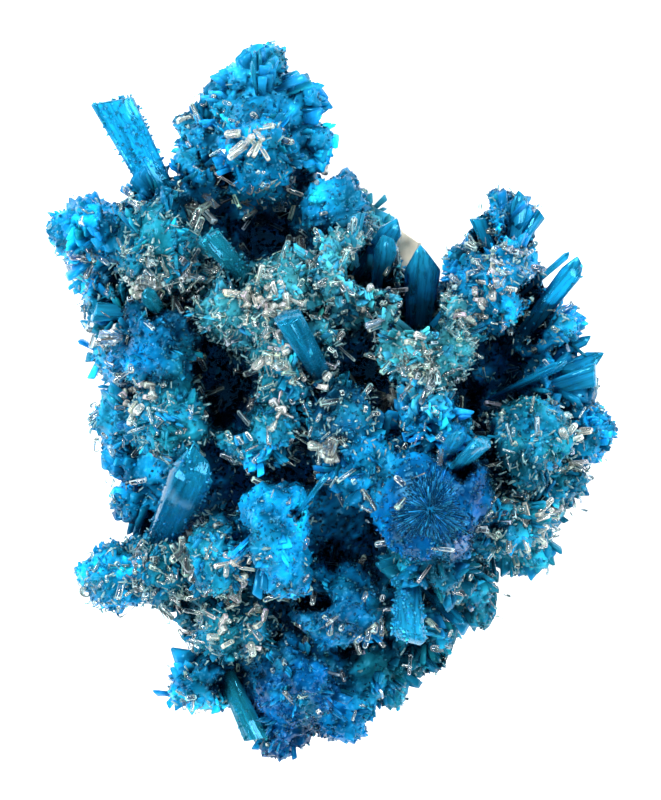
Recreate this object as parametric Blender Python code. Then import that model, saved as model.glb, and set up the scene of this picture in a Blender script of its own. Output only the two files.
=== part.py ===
"""A cluster of blue pentagonite, with clear zeolite crystals and one tan stilbite crystal on it.

The cluster lies on its back, on the flat face where it was cut from its rock.
+X is its right, +Y its top and +Z its front; the cut is at z = 0, round the origin.
Lengths are in millimetres up to the last step, which turns each mesh into metres.
"""

import math
import random
from dataclasses import dataclass

import bmesh
import bpy
from mathutils import Matrix, Vector
from mathutils.bvhtree import BVHTree

MM = 0.001

# The whole cluster, and the side of a box that is larger than it
HEIGHT = 36.0
CUTTER_SIDE = 4.0 * HEIGHT

# A spray's solid middle, as a share of its longest blades, and how its blades vary and narrow
BODY_SHARE = 0.46
SHORTEST_BLADE = 0.8
LUMP_ROUGHNESS = 0.16
BLADE_SHOULDER = 0.72
BLADE_TAPER = 0.8
BLADE_FLATNESS = 0.4
BLUNT_BLADES = 0.25

# The outline of a crystal: how far its bevelled edges reach, and how its far end closes
EDGE_SHARE = 0.3
END_SHARE = 0.9
LONGEST_END = 0.45
FLAT_END_SLOPE = 0.35
POINT_ASIDE = 0.12
CHISEL_HALF_EDGE = 0.26
CHISEL_DROP = 0.35

# The width of a crystal's foot, as a share of its full width
BLADE_FOOT = 0.65
ROOT_FOOT = 1.3
PERCHED_FOOT = 0.9
SEAT_FOOT = 0.95

# A spray's root runs from its middle into the joining mass, nearer the cluster's own middle
ROOT_INWARD = 0.72
ROOT_DOWN = 0.35
ROOT_WIDTH_SHARE = 1.1

# How deep a clear crystal lies in its seat, the points under it that are looked at, and the gap round it
SEAT_DEPTH = 0.06
SEAT_STEPS = 6
SEAT_GAP = 0.06

# Each clear crystal is turned on its own axis a little more than the one before, in degrees
PERCHED_TURN = 12.0


@dataclass
class Spray:
    """Blades that grew out of one point, round one direction."""

    place: str
    centre: tuple
    toward: tuple
    reach: float
    spread: float
    detail: int = 1


@dataclass
class Blade:
    """One large crystal, from its foot inside the cluster to its tip."""

    place: str
    foot: tuple
    tip: tuple
    width: float
    thickness: float
    roll: float
    end: str


@dataclass
class Perched:
    """One clear crystal on the front of the cluster, at a place seen from the front."""

    name: str
    place: tuple
    heading: float
    rise: float
    length: float
    width: float
    thickness: float


# The joining mass: centre and radius of each lump, from the top of the cluster down
LUMPS = [
    ((-3.6, 12.2, 5.4), 2.5),
    ((-4.6, 8.4, 2.7), 3.8),
    ((-8.2, 7.0, 5.0), 2.8),
    ((-0.2, 6.8, 3.0), 3.6),
    ((8.4, 5.2, 5.6), 2.4),
    ((-7.0, 2.4, 2.6), 4.2),
    ((-1.4, 2.2, 2.4), 5.4),
    ((4.8, 1.2, 2.6), 4.9),
    ((9.4, 0.2, 4.2), 3.2),
    ((-5.6, -3.4, 2.5), 4.7),
    ((0.8, -3.8, 2.6), 5.4),
    ((7.4, -3.6, 2.8), 4.5),
    ((-8.2, -8.5, 6.0), 1.9),
    ((-3.0, -9.0, 2.6), 4.5),
    ((3.2, -8.4, 2.7), 4.1),
    ((-2.2, -12.8, 3.0), 3.5),
]

SPRAYS = [
    Spray("spire crown", (-3.5, 14.8, 6.9), (0.0, 1.0, 0.1), 3.4, 45),
    Spray("spire upper left", (-4.8, 14.3, 6.6), (-0.9, 0.5, 0.2), 2.3, 50),
    Spray("spire upper right", (-2.2, 14.5, 6.8), (0.9, 0.6, 0.1), 2.4, 50),
    Spray("spire left knob", (-6.0, 12.9, 6.6), (-1.0, 0.3, 0.3), 2.3, 52),
    Spray("spire right side", (-1.8, 12.6, 6.8), (1.0, 0.2, 0.3), 2.4, 52),
    Spray("spire front", (-3.8, 12.2, 7.6), (-0.1, 0.2, 1.0), 3.4, 56),
    Spray("spire back", (-3.6, 12.6, 5.0), (0.0, 0.6, -1.0), 2.6, 56),
    Spray("spire foot", (-6.4, 10.8, 7.0), (-0.8, 0.5, 0.5), 2.3, 50),
    Spray("dome beside the spire", (0.2, 9.5, 8.2), (0.2, 0.4, 0.9), 2.3, 85),
    Spray("foot of the fins", (2.4, 5.8, 7.0), (0.2, 0.7, 0.6), 2.2, 55),
    Spray("left fan", (-11.4, 8.3, 7.4), (-1.0, 0.35, 0.2), 3.1, 57),
    Spray("left fan underside", (-11.0, 6.7, 5.8), (-0.8, -0.5, -0.3), 2.6, 57),
    Spray("left shoulder", (-8.4, 7.2, 8.8), (-0.2, 0.1, 1.0), 3.4, 59),
    Spray("left shoulder top", (-8.5, 9.6, 7.4), (-0.5, 0.7, 0.5), 2.4, 55),
    Spray("left brow", (-10.4, 4.2, 6.8), (-1.0, 0.1, 0.4), 2.4, 52),
    Spray("left blue mass", (-8.8, 2.6, 8.4), (-0.3, 0.0, 1.0), 3.4, 66),
    Spray("left flank", (-9.6, -1.0, 6.2), (-1.0, 0.0, 0.2), 2.6, 54),
    Spray("left flank low", (-9.5, -3.2, 5.2), (-1.0, 0.0, 0.0), 2.3, 50),
    Spray("left flank front", (-7.8, -0.8, 8.8), (-0.4, -0.2, 1.0), 3.0, 59),
    Spray("left lower flank", (-9.0, -5.4, 4.6), (-1.0, -0.1, 0.0), 2.2, 50),
    Spray("club head", (-10.7, -9.1, 7.4), (-1.0, 0.0, 0.2), 2.3, 95),
    Spray("club handle", (-8.4, -8.7, 7.4), (-0.2, -0.3, 1.0), 2.3, 69),
    Spray("white burst", (-4.6, 4.6, 9.6), (-0.3, 0.3, 1.0), 3.0, 59),
    Spray("pale cluster", (-2.6, 4.8, 10.4), (0.0, 0.3, 1.0), 3.3, 60),
    Spray("seat of the big tablet", (-1.6, 2.2, 10.4), (0.0, -0.2, 1.0), 3.2, 59),
    Spray("middle left", (-3.6, -1.4, 9.6), (0.0, 0.0, 1.0), 3.2, 59),
    Spray("coated tablets", (1.0, 5.8, 9.8), (0.0, 0.2, 1.0), 3.9, 50),
    Spray("middle", (0.4, -1.2, 10.2), (0.0, 0.0, 1.0), 3.3, 59),
    Spray("pale club", (4.7, 2.6, 11.0), (0.0, 0.1, 1.0), 3.5, 78),
    Spray("tower crown", (8.7, 8.0, 8.8), (0.05, 1.0, 0.2), 2.7, 52),
    Spray("tower front", (8.4, 5.6, 9.2), (-0.1, 0.1, 1.0), 3.3, 64),
    Spray("tower left side", (7.6, 6.4, 8.0), (-1.0, 0.2, 0.2), 2.2, 52),
    Spray("tower back", (8.6, 6.0, 6.2), (0.2, 0.5, -0.9), 2.5, 60),
    Spray("right shoulder", (10.6, 3.3, 8.0), (0.8, 0.4, 0.5), 2.6, 54),
    Spray("right hand", (10.8, 0.8, 7.6), (1.0, 0.2, 0.3), 2.8, 52),
    Spray("right lump", (12.4, -1.9, 6.6), (1.0, 0.0, 0.2), 2.2, 90),
    Spray("druse ball", (9.8, -1.9, 10.0), (0.1, 0.0, 1.0), 3.0, 80),
    Spray("right lower edge", (10.8, -4.2, 7.2), (1.0, -0.2, 0.2), 2.3, 60),
    Spray("right lower corner", (9.4, -6.4, 6.4), (0.8, -0.6, 0.1), 2.7, 60),
    Spray("right lower front", (8.2, -5.8, 8.6), (0.3, -0.3, 1.0), 3.0, 59),
    Spray("rosette", (4.9, -5.0, 10.8), (0.0, -0.1, 1.0), 4.4, 62, 2),
    Spray("above the rosette", (5.0, -1.4, 10.4), (0.0, 0.3, 1.0), 3.4, 60),
    Spray("left of the rosette", (2.2, -3.4, 10.0), (-0.4, 0.1, 1.0), 3.5, 60),
    Spray("below the rosette", (4.6, -8.0, 8.8), (0.1, -0.6, 0.8), 3.3, 56),
    Spray("cone", (-2.7, -5.8, 11.2), (0.0, -0.95, 0.35), 4.4, 34),
    Spray("left of the cone", (-5.4, -7.6, 8.4), (-0.5, -0.5, 0.8), 3.1, 56),
    Spray("blue stub", (0.3, -10.2, 8.2), (0.0, -0.3, 1.0), 3.5, 58),
    Spray("lower right edge", (4.2, -11.6, 5.2), (0.8, -0.6, 0.1), 2.6, 54),
    Spray("lower right corner", (6.6, -9.2, 5.2), (0.8, -0.6, 0.1), 2.7, 52),
    Spray("lower right flank", (2.0, -13.3, 4.8), (0.8, -0.5, 0.1), 2.8, 54),
    Spray("pale foot", (-4.6, -11.2, 6.6), (-0.5, 0.0, 1.0), 3.0, 59),
    Spray("left lobe", (-6.0, -14.0, 4.6), (-0.8, -0.6, 0.1), 2.4, 62),
    Spray("left lobe top", (-5.9, -11.3, 4.8), (-1.0, 0.2, 0.1), 2.1, 50),
    Spray("bottom front", (-1.6, -14.0, 6.0), (0.0, -0.2, 1.0), 3.4, 59),
    Spray("bottom tip", (-2.2, -15.7, 4.8), (0.0, -1.0, 0.1), 2.7, 60),
    Spray("bottom right", (0.4, -15.0, 4.8), (0.6, -0.8, 0.1), 2.6, 54),
]

BLADES = [
    Blade("upper left", (-7.8, 9.0, 6.8), (-11.1, 15.3, 8.6), 2.2, 0.7, 10, "flat"),
    Blade("big tablet", (0.1, 0.3, 9.8), (-2.2, 4.3, 14.2), 1.6, 1.2, 30, "flat"),
    Blade("long coated tablet", (-3.4, 5.2, 8.6), (-6.2, 8.3, 11.6), 1.3, 0.6, 20, "flat"),
    Blade("dark prism", (-8.8, -7.8, 6.4), (-6.3, -2.4, 12.0), 2.3, 1.2, 0, "chisel"),
    Blade("first fin", (0.6, 5.0, 4.6), (3.5, 9.1, 9.2), 1.3, 0.5, 30, "point"),
    Blade("second fin", (2.3, 4.8, 6.4), (2.9, 8.3, 10.0), 1.3, 0.5, 20, "chisel"),
    Blade("third fin", (4.3, 2.2, 5.2), (4.7, 7.9, 9.0), 1.9, 0.7, 10, "point"),
    Blade("tower tip", (9.0, 7.4, 8.4), (9.6, 10.5, 9.2), 1.0, 0.45, 15, "chisel"),
    Blade("tower dark knob", (9.2, 7.4, 8.2), (10.6, 9.4, 8.6), 0.7, 0.45, 40, "flat"),
    Blade("tower left corner", (8.2, 7.0, 8.4), (7.3, 9.2, 9.2), 0.9, 0.5, 0, "flat"),
    Blade("right needle", (8.8, 4.6, 6.4), (12.0, 7.4, 8.6), 0.4, 0.3, 0, "point"),
    Blade("long right blade", (8.8, 2.2, 6.8), (12.6, 7.1, 9.4), 1.2, 0.55, 20, "chisel"),
    Blade("small right blade", (10.6, 1.8, 7.4), (13.1, 3.2, 8.4), 0.6, 0.3, 30, "point"),
    Blade("right wing", (10.6, 1.0, 7.4), (13.8, 2.3, 8.4), 1.0, 0.4, 10, "point"),
    Blade("right wing tablet", (10.4, 0.4, 7.6), (13.4, 1.3, 9.2), 1.2, 0.45, 15, "flat"),
    Blade("long dark blade", (8.0, 0.0, 8.0), (11.9, 2.0, 10.4), 0.9, 0.35, 70, "chisel"),
    Blade("rosette tablet", (5.6, -4.0, 10.4), (7.6, -2.0, 14.4), 1.3, 0.55, 60, "flat"),
    Blade("second rosette tablet", (5.2, -3.4, 10.4), (6.5, -1.5, 14.8), 1.1, 0.45, 40, "chisel"),
    Blade("cone needle", (-2.2, -6.4, 11.2), (-0.1, -3.6, 14.0), 0.32, 0.24, 0, "point"),
    Blade("azure prism", (3.9, -8.2, 7.4), (3.9, -12.0, 11.2), 1.7, 0.9, 0, "flat"),
    Blade("lower right spear", (3.6, -8.6, 4.0), (6.7, -11.3, 6.8), 0.7, 0.35, 10, "point"),
    Blade("lower edge spear", (3.6, -11.8, 4.8), (5.6, -13.3, 5.6), 0.7, 0.35, 10, "point"),
    Blade("teal blade", (-5.7, -12.8, 4.4), (-3.6, -17.3, 5.6), 1.5, 0.55, 35, "flat"),
    Blade("left edge block", (-9.8, 4.4, 7.2), (-12.0, 4.4, 8.2), 1.1, 0.65, 15, "flat"),
    Blade("upper stub", (-8.2, 4.0, 8.0), (-9.3, 5.5, 11.8), 1.0, 0.5, 30, "chisel"),
]

PERCHED = [
    Perched("rod_on_spire", (-3.5, 12.1), 125, 20, 1.9, 0.40, 0.28),
    Perched("rod_under_spire", (-4.4, 12.2), 170, 15, 1.3, 0.42, 0.30),
    Perched("rod_left_of_spire", (-6.8, 10.7), -43, 15, 1.7, 0.36, 0.26),
    Perched("block_on_left_shoulder", (-8.8, 5.7), 160, 25, 1.1, 0.90, 0.50),
    Perched("block_on_left_edge", (-10.4, 3.2), 185, 10, 1.3, 0.80, 0.50),
    Perched("rod_beside_tablet", (-0.4, 3.6), 124, 35, 1.3, 0.36, 0.26),
    Perched("block_on_coated_tablet", (0.6, 4.9), 80, 40, 0.9, 0.50, 0.36),
    Perched("flat_crystal_on_coated_tablet", (2.3, 5.0), 20, 15, 1.2, 0.60, 0.35),
    Perched("rod_on_pale_club", (3.3, 1.6), 45, 20, 1.1, 0.42, 0.30),
    Perched("rod_on_tower", (7.7, 6.0), 60, 20, 1.0, 0.40, 0.28),
    Perched("rod_above_rosette", (5.4, -3.2), 85, 20, 0.9, 0.34, 0.24),
    Perched("block_in_middle", (-0.1, -2.7), 80, 30, 1.1, 0.80, 0.55),
    Perched("grooved_crystal_on_dark_prism", (-7.9, -7.3), 45, 12, 1.8, 0.75, 0.42),
    Perched("block_on_club", (-6.9, -8.9), 30, 15, 1.0, 0.65, 0.40),
    Perched("pale_crystal_at_right", (9.9, -6.2), 150, 20, 1.1, 0.55, 0.38),
]

STILBITE = Blade("stilbite", (3.2, 5.4, 6.4), (4.1, 8.4, 7.4), 1.2, 0.55, 0, "flat")

# The short blades round the back: an oval of feet just above the cut
BACK_SPRAYS = 7
BACK_OVAL = (8.2, 11.4)
BACK_MIDDLE = (-0.6, -1.2)
BACK_HEIGHT = 2.9
BACK_REACH = 2.3
BACK_SPREAD = 50
BACK_LEAN = -0.12


def clear_scene():
    """Removes every object that is already in the scene."""
    for old in list(bpy.data.objects):
        bpy.data.objects.remove(old, do_unlink=True)


def six_sided_section(width, thickness):
    """Returns the outline of a flattened six-sided crystal."""
    shoulder = 0.5 * width - EDGE_SHARE * thickness
    half = 0.5 * thickness
    return [
        Vector((0.5 * width, 0.0, 0.0)),
        Vector((shoulder, half, 0.0)),
        Vector((-shoulder, half, 0.0)),
        Vector((-0.5 * width, 0.0, 0.0)),
        Vector((-shoulder, -half, 0.0)),
        Vector((shoulder, -half, 0.0)),
    ]


def four_sided_section(width, thickness):
    """Returns the outline of a thin four-sided crystal."""
    return [
        Vector((0.5 * width, 0.0, 0.0)),
        Vector((0.0, 0.5 * thickness, 0.0)),
        Vector((-0.5 * width, 0.0, 0.0)),
        Vector((0.0, -0.5 * thickness, 0.0)),
    ]


def placed(points, frame):
    """Returns the points after the turn and shift of one crystal."""
    return [frame @ point for point in points]


def add_ring(mesh, points):
    """Adds one ring of corners to the mesh."""
    return [mesh.verts.new(point) for point in points]


def close_end(mesh, ring, end, width, length, tip_length, frame):
    """Closes a crystal's far end as a point, a chisel edge or a slanted flat face."""
    count = len(ring)
    if end == "flat":
        mesh.faces.new(ring)
        return
    if end == "point" or count == 4:
        apex = mesh.verts.new(frame @ Vector((POINT_ASIDE * width, 0.0, length)))
        for index in range(count):
            mesh.faces.new((ring[index], ring[(index + 1) % count], apex))
        return
    near = mesh.verts.new(frame @ Vector((CHISEL_HALF_EDGE * width, 0.0, length)))
    drop = CHISEL_DROP * tip_length
    far = mesh.verts.new(frame @ Vector((-CHISEL_HALF_EDGE * width, 0.0, length - drop)))
    mesh.faces.new((ring[0], ring[1], near))
    mesh.faces.new((ring[1], ring[2], far, near))
    mesh.faces.new((ring[2], ring[3], far))
    mesh.faces.new((ring[3], ring[4], far))
    mesh.faces.new((ring[4], ring[5], near, far))
    mesh.faces.new((ring[5], ring[0], near))


def crystal_frame(foot, tip, roll):
    """Returns the placing of a crystal that stands on foot and points at tip."""
    axis = (tip - foot).normalized()
    turn = axis.to_track_quat("Z", "Y").to_matrix().to_4x4()
    return Matrix.Translation(foot) @ turn @ Matrix.Rotation(math.radians(roll), 4, "Z")


def add_crystal(mesh, foot, tip, width, thickness, roll, end, foot_share=BLADE_FOOT, sides=6):
    """Adds one closed crystal, from its foot to the end that it points at."""
    foot = Vector(foot)
    tip = Vector(tip)
    length = (tip - foot).length
    frame = crystal_frame(foot, tip, roll)
    outline = six_sided_section(width, thickness) if sides == 6 else four_sided_section(width, thickness)
    tip_length = min(LONGEST_END * length, END_SHARE * width)
    if end == "flat":
        heights = [length + FLAT_END_SLOPE * (point.x - 0.5 * width) for point in outline]
    else:
        heights = [length - tip_length] * len(outline)
    top = [Vector((point.x, point.y, height)) for point, height in zip(outline, heights)]
    lower = add_ring(mesh, placed([point * foot_share for point in outline], frame))
    upper = add_ring(mesh, placed(top, frame))
    count = len(outline)
    mesh.faces.new(list(reversed(lower)))
    for index in range(count):
        after = (index + 1) % count
        mesh.faces.new((lower[index], lower[after], upper[after], upper[index]))
    close_end(mesh, upper, end, width, length, tip_length, frame)


def add_lump(mesh, chance, centre, radius, detail):
    """Adds one rough ball with flat faces."""
    ball = bmesh.ops.create_icosphere(mesh, subdivisions=detail, radius=radius)
    turn = Matrix.Rotation(chance.uniform(0.0, math.tau), 3, Vector((0.3, 0.5, 0.8)).normalized())
    for corner in ball["verts"]:
        swell = 1.0 + chance.uniform(-LUMP_ROUGHNESS, LUMP_ROUGHNESS)
        corner.co = Vector(centre) + turn @ corner.co * swell


def stands_in_mass(point):
    """Tells whether a point is inside the joining mass."""
    return any((point - Vector(centre)).length < radius for centre, radius in LUMPS)


def add_root(mesh, spray):
    """Adds the stout crystal that carries a spray, from deep in the joining mass to its middle."""
    x, y, z = spray.centre
    foot = Vector((ROOT_INWARD * x, ROOT_INWARD * y, ROOT_DOWN * z))
    width = ROOT_WIDTH_SHARE * BODY_SHARE * spray.reach
    add_crystal(mesh, foot, spray.centre, width, width, 0.0, "flat", ROOT_FOOT, sides=4)


def grow_blade(mesh, chance, face, centre, reach):
    """Draws one face of a spray's middle out into a blade."""
    middle = face.calc_center_median()
    outward = (middle - centre).normalized()
    length = reach * chance.uniform(SHORTEST_BLADE, 1.0)
    shoulder = centre + outward * length * BLADE_SHOULDER
    across = (face.verts[0].co - middle).normalized()
    made = bmesh.ops.extrude_discrete_faces(mesh, faces=[face])["faces"][0]
    for corner in made.verts:
        offset = (corner.co - middle) * BLADE_TAPER
        offset -= BLADE_FLATNESS * offset.dot(across) * across
        corner.co = shoulder + offset
    if chance.random() < BLUNT_BLADES:
        slope = chance.choice(list(made.verts))
        slope.co += outward * length * (1.0 - BLADE_SHOULDER)
        return
    tip = bmesh.ops.poke(mesh, faces=[made])["verts"][0]
    tip.co = centre + outward * length


def add_spray(mesh, spray):
    """Adds a spray: its solid middle, the blades round that, and a root if it stands clear of the mass."""
    chance = random.Random(spray.place)
    centre = Vector(spray.centre)
    toward = Vector(spray.toward).normalized()
    if not stands_in_mass(centre):
        add_root(mesh, spray)
    known = set(mesh.faces)
    add_lump(mesh, chance, centre, BODY_SHARE * spray.reach, spray.detail)
    for face in [face for face in mesh.faces if face not in known]:
        outward = (face.calc_center_median() - centre).normalized()
        if math.degrees(outward.angle(toward)) < spray.spread:
            grow_blade(mesh, chance, face, centre, spray.reach)


def back_sprays():
    """Returns the sprays that stand out round the back of the cluster, just above the cut."""
    sprays = []
    for index in range(BACK_SPRAYS):
        around = math.tau * (index + 0.5) / BACK_SPRAYS
        outward = Vector((math.cos(around), math.sin(around), BACK_LEAN))
        centre = (
            BACK_MIDDLE[0] + BACK_OVAL[0] * outward.x,
            BACK_MIDDLE[1] + BACK_OVAL[1] * outward.y,
            BACK_HEIGHT,
        )
        sprays.append(Spray(f"back {index}", centre, tuple(outward), BACK_REACH, BACK_SPREAD))
    return sprays


def new_object(name, mesh, material):
    """Makes a scene object from a mesh in millimetres."""
    data = bpy.data.meshes.new(name)
    mesh.to_mesh(data)
    mesh.free()
    data.transform(Matrix.Scale(MM, 4))
    if material is not None:
        data.materials.append(material)
    made = bpy.data.objects.new(name, data)
    bpy.context.scene.collection.objects.link(made)
    return made


def hide_cutter(cutter):
    """Marks an object as a cutter that isn't part of the specimen."""
    cutter.hide_render = True
    cutter.display_type = "WIRE"


def cut_from(made, cutter, joins_itself):
    """Cuts the cutter from an object, joining the object's own overlapping crystals if asked."""
    boolean = made.modifiers.new("cut", "BOOLEAN")
    boolean.operation = "DIFFERENCE"
    boolean.solver = "EXACT"
    boolean.use_self = joins_itself
    boolean.object = cutter
    bpy.context.view_layer.update()
    view = bpy.context.evaluated_depsgraph_get()
    result = bpy.data.meshes.new_from_object(made.evaluated_get(view))
    made.modifiers.remove(boolean)
    made.data = result


def islands(mesh):
    """Returns the sets of faces that hang together."""
    left = set(mesh.faces)
    found = []
    while left:
        edge_of_search = [left.pop()]
        island = set(edge_of_search)
        while edge_of_search:
            face = edge_of_search.pop()
            for edge in face.edges:
                for other in edge.link_faces:
                    if other in left:
                        left.remove(other)
                        island.add(other)
                        edge_of_search.append(other)
        found.append(island)
    return found


def keep_outer_body(made):
    """Fills pockets that are sealed inside the mass and drops splinters cut loose from it."""
    mesh = bmesh.new()
    mesh.from_mesh(made.data)
    found = sorted(islands(mesh), key=len, reverse=True)
    for island in found[1:]:
        bmesh.ops.delete(mesh, geom=list(island), context="FACES")
    loose = [corner for corner in mesh.verts if not corner.link_faces]
    bmesh.ops.delete(mesh, geom=loose, context="VERTS")
    mesh.to_mesh(made.data)
    mesh.free()


def plain_material(name, colour, roughness, clearness):
    """Makes a material with one colour that lets some light through."""
    material = bpy.data.materials.new(name)
    material.use_nodes = True
    shader = material.node_tree.nodes["Principled BSDF"]
    shader.inputs["Base Color"].default_value = (*colour, 1.0)
    shader.inputs["Roughness"].default_value = roughness
    shader.inputs["Metallic"].default_value = 0.0
    shader.inputs["Transmission Weight"].default_value = clearness
    material.diffuse_color = (*colour, 1.0)
    return material


def pentagonite_mesh():
    """Returns the mesh of all blue crystals and their joining mass, before they are joined."""
    mesh = bmesh.new()
    for index, (centre, radius) in enumerate(LUMPS):
        add_lump(mesh, random.Random(index), centre, radius, 1)
    for spray in SPRAYS + back_sprays():
        add_spray(mesh, spray)
    for blade in BLADES:
        add_crystal(mesh, blade.foot, blade.tip, blade.width, blade.thickness, blade.roll, blade.end)
    return mesh


def rock_cutter():
    """Makes the cutter that takes off everything below the cut."""
    mesh = bmesh.new()
    box = bmesh.ops.create_cube(mesh, size=CUTTER_SIDE)
    for corner in box["verts"]:
        corner.co.z -= 0.5 * CUTTER_SIDE
    cutter = new_object("rock_cutter", mesh, None)
    hide_cutter(cutter)
    return cutter


def perched_ends(perched, surface):
    """Returns the foot and tip of a clear crystal that lies on the highest of what is under it."""
    heading = math.radians(perched.heading)
    rise = math.radians(perched.rise)
    axis = Vector((math.cos(heading) * math.cos(rise), math.sin(heading) * math.cos(rise), math.sin(rise)))
    start = Vector((*perched.place, HEIGHT))
    heights = []
    for step in range(SEAT_STEPS):
        along = axis * perched.length * step / (SEAT_STEPS - 1)
        below = surface.ray_cast(start + along, Vector((0.0, 0.0, -1.0)))[0]
        if below is not None:
            heights.append(below.z - along.z)
    foot = Vector((*perched.place, max(heights) - SEAT_DEPTH))
    return foot, foot + perched.length * axis


def add_seat(mesh, foot, tip, width, thickness, roll, end):
    """Adds the hollow that a crystal stands in: the same crystal, larger by the gap all round."""
    axis = (Vector(tip) - Vector(foot)).normalized()
    room = 2.0 * SEAT_GAP
    low = Vector(foot) - room * axis
    high = Vector(tip) + room * axis
    add_crystal(mesh, low, high, width + 2.0 * room, thickness + 2.0 * room, roll, end, SEAT_FOOT)


def front_surface(made):
    """Returns the object's surface in millimetres, to find what is under each clear crystal."""
    corners = [corner.co / MM for corner in made.data.vertices]
    faces = [tuple(face.vertices) for face in made.data.polygons]
    return BVHTree.FromPolygons(corners, faces)


def make_zeolites(surface, seats, material):
    """Makes the clear crystals and adds their seats to the seats mesh."""
    for index, perched in enumerate(PERCHED):
        foot, tip = perched_ends(perched, surface)
        end = "chisel" if index % 2 else "flat"
        roll = PERCHED_TURN * index
        mesh = bmesh.new()
        add_crystal(mesh, foot, tip, perched.width, perched.thickness, roll, end, PERCHED_FOOT)
        new_object(f"zeolite_{perched.name}", mesh, material)
        add_seat(seats, foot, tip, perched.width, perched.thickness, roll, end)


def make_stilbite(seats, material):
    """Makes the tan crystal behind the fins and adds its seat to the seats mesh."""
    shape = (STILBITE.width, STILBITE.thickness, STILBITE.roll, STILBITE.end)
    mesh = bmesh.new()
    add_crystal(mesh, STILBITE.foot, STILBITE.tip, *shape, PERCHED_FOOT)
    new_object("stilbite_crystal", mesh, material)
    add_seat(seats, STILBITE.foot, STILBITE.tip, *shape)


def main():
    """Builds the specimen."""
    clear_scene()
    blue = plain_material("pentagonite_blue", (0.0, 0.16, 0.55), 0.12, 0.4)
    clear = plain_material("zeolite_clear", (0.85, 0.88, 0.84), 0.1, 0.8)
    tan = plain_material("stilbite_tan", (0.62, 0.45, 0.28), 0.3, 0.2)
    cluster = new_object("pentagonite_cluster", pentagonite_mesh(), blue)
    cut_from(cluster, rock_cutter(), joins_itself=True)
    keep_outer_body(cluster)
    seats = bmesh.new()
    make_zeolites(front_surface(cluster), seats, clear)
    make_stilbite(seats, tan)
    seat_cutter = new_object("seat_cutter", seats, None)
    hide_cutter(seat_cutter)
    cut_from(cluster, seat_cutter, joins_itself=True)
    keep_outer_body(cluster)


main()
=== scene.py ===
"""The looks of a blue pentagonite cluster: fine blades, druse, clear zeolite crystals and their materials.

Lengths are in millimetres up to the meshes, which are in metres. +Z is towards the camera.
"""

import math
from dataclasses import dataclass

import bmesh
import bpy
import numpy as np
from mathutils import Matrix, Vector, noise
from mathutils.bvhtree import BVHTree
from mathutils.kdtree import KDTree


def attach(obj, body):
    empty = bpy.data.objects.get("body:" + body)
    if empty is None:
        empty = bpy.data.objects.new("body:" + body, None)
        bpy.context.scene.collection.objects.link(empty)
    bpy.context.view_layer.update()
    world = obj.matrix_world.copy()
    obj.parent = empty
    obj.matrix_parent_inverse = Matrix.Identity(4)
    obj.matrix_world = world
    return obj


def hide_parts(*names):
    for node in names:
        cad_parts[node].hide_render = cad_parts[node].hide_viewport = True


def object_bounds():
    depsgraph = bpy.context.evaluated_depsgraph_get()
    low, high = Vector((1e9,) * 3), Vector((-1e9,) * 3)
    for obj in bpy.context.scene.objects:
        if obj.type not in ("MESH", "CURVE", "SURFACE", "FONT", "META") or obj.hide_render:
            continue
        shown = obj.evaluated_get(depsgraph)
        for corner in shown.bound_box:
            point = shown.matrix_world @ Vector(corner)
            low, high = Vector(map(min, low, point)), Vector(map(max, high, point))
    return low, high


MM = 0.001

# The photograph's height in pixels, and the size of one pixel
PHOTO_HEIGHT = 800
PIXEL = 0.05

# The camera looks straight down, from far enough that depth hardly changes size: its lens and sensor, and
# the height above the floor where a pixel has the size above
CAMERA_LENS = 450.0
CAMERA_SENSOR = 36.0
SHARP_HEIGHT = 8.0

# How far the crystals may stand past the solids' box, as a share of its sides, and their lowest height
BOX_SHARE = 0.012
LOWEST_TIP = 0.05

# The colours of the blue crystals, and the painted shade deep between them
COLOURS = {
    "cyan": (0.012, 0.32, 0.62),
    "azure": (0.003, 0.23, 0.50),
    "royal": (0.001, 0.105, 0.26),
    "teal": (0.006, 0.15, 0.22),
    "pale": (0.04, 0.27, 0.32),
    "deep": (0.0005, 0.052, 0.20),
    "navy": (0.001, 0.03, 0.09),
}
PAINTED_PIT_SHADE = (0.0008, 0.010, 0.030)

# How sprays' colours run into each other, and how much clouds of light, teal and royal change them
BLEND = 7.0
CLOUD_SIZE = 1.6
CLOUD_LIGHT = 1.5
CLOUD_HUE = 0.9

# The other crystals: clear insides, frosted edges, the finest of them, the milky ones and the tan one
CLEAR = (0.92, 0.98, 0.98)
WORN = (0.35, 0.52, 0.53)
FROST = (0.26, 0.50, 0.54)
MILK = (0.68, 0.76, 0.72)
TAN = (0.80, 0.72, 0.56)
WORN_CLEARNESS = 0.55

# The large blue crystals' pale tips and their share, what is added to the grains to make them pale, partly as
# painted sparkle, the tint of all blue reflections, and the light that goes through
PALE_TIP = (0.02, 0.55, 0.85)
PALE_SHARE = 0.35
GRAIN_PALE_SPARKLE = (0.02, 0.08, 0.10)
SHEEN_TINT = (0.12, 0.62, 1.0)
ABSORBED = (0.03, 0.72, 0.93)

# The light: how bright the room is overhead and low down, how much the floor glows, half the floor's side in
# metres, and each lamp's name, place, size and power
ZENITH = 0.05
HORIZON = 0.5
FLOOR_GLOW = 0.55
FLOOR_HALF = 3.0
LAMPS = [
    ("key", (-0.16, 0.14, 0.22), 0.12, 1.6),
    ("fill", (0.20, -0.12, 0.20), 0.14, 1.0),
    ("left lamp", (-0.18, -0.16, 0.16), 0.12, 0.8),
    ("right lamp", (0.18, 0.18, 0.18), 0.12, 0.9),
]

# The mass: the size of the cells it is made with and of its facets, how far they stand out, how uneven its
# balls are, and how large the ball of a spray is, as a share of its reach, and how much less if it is bladed
BODY_CELL = 0.23
FACET_SIZE = 0.40
FACET_TILT = 0.42
FACET_STEP = 0.07
FACET_LIMIT = 0.25
BODY_ROUGHNESS = 0.16
CORE_SHARE = 0.66
CORE_BLADED = 0.22

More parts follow.
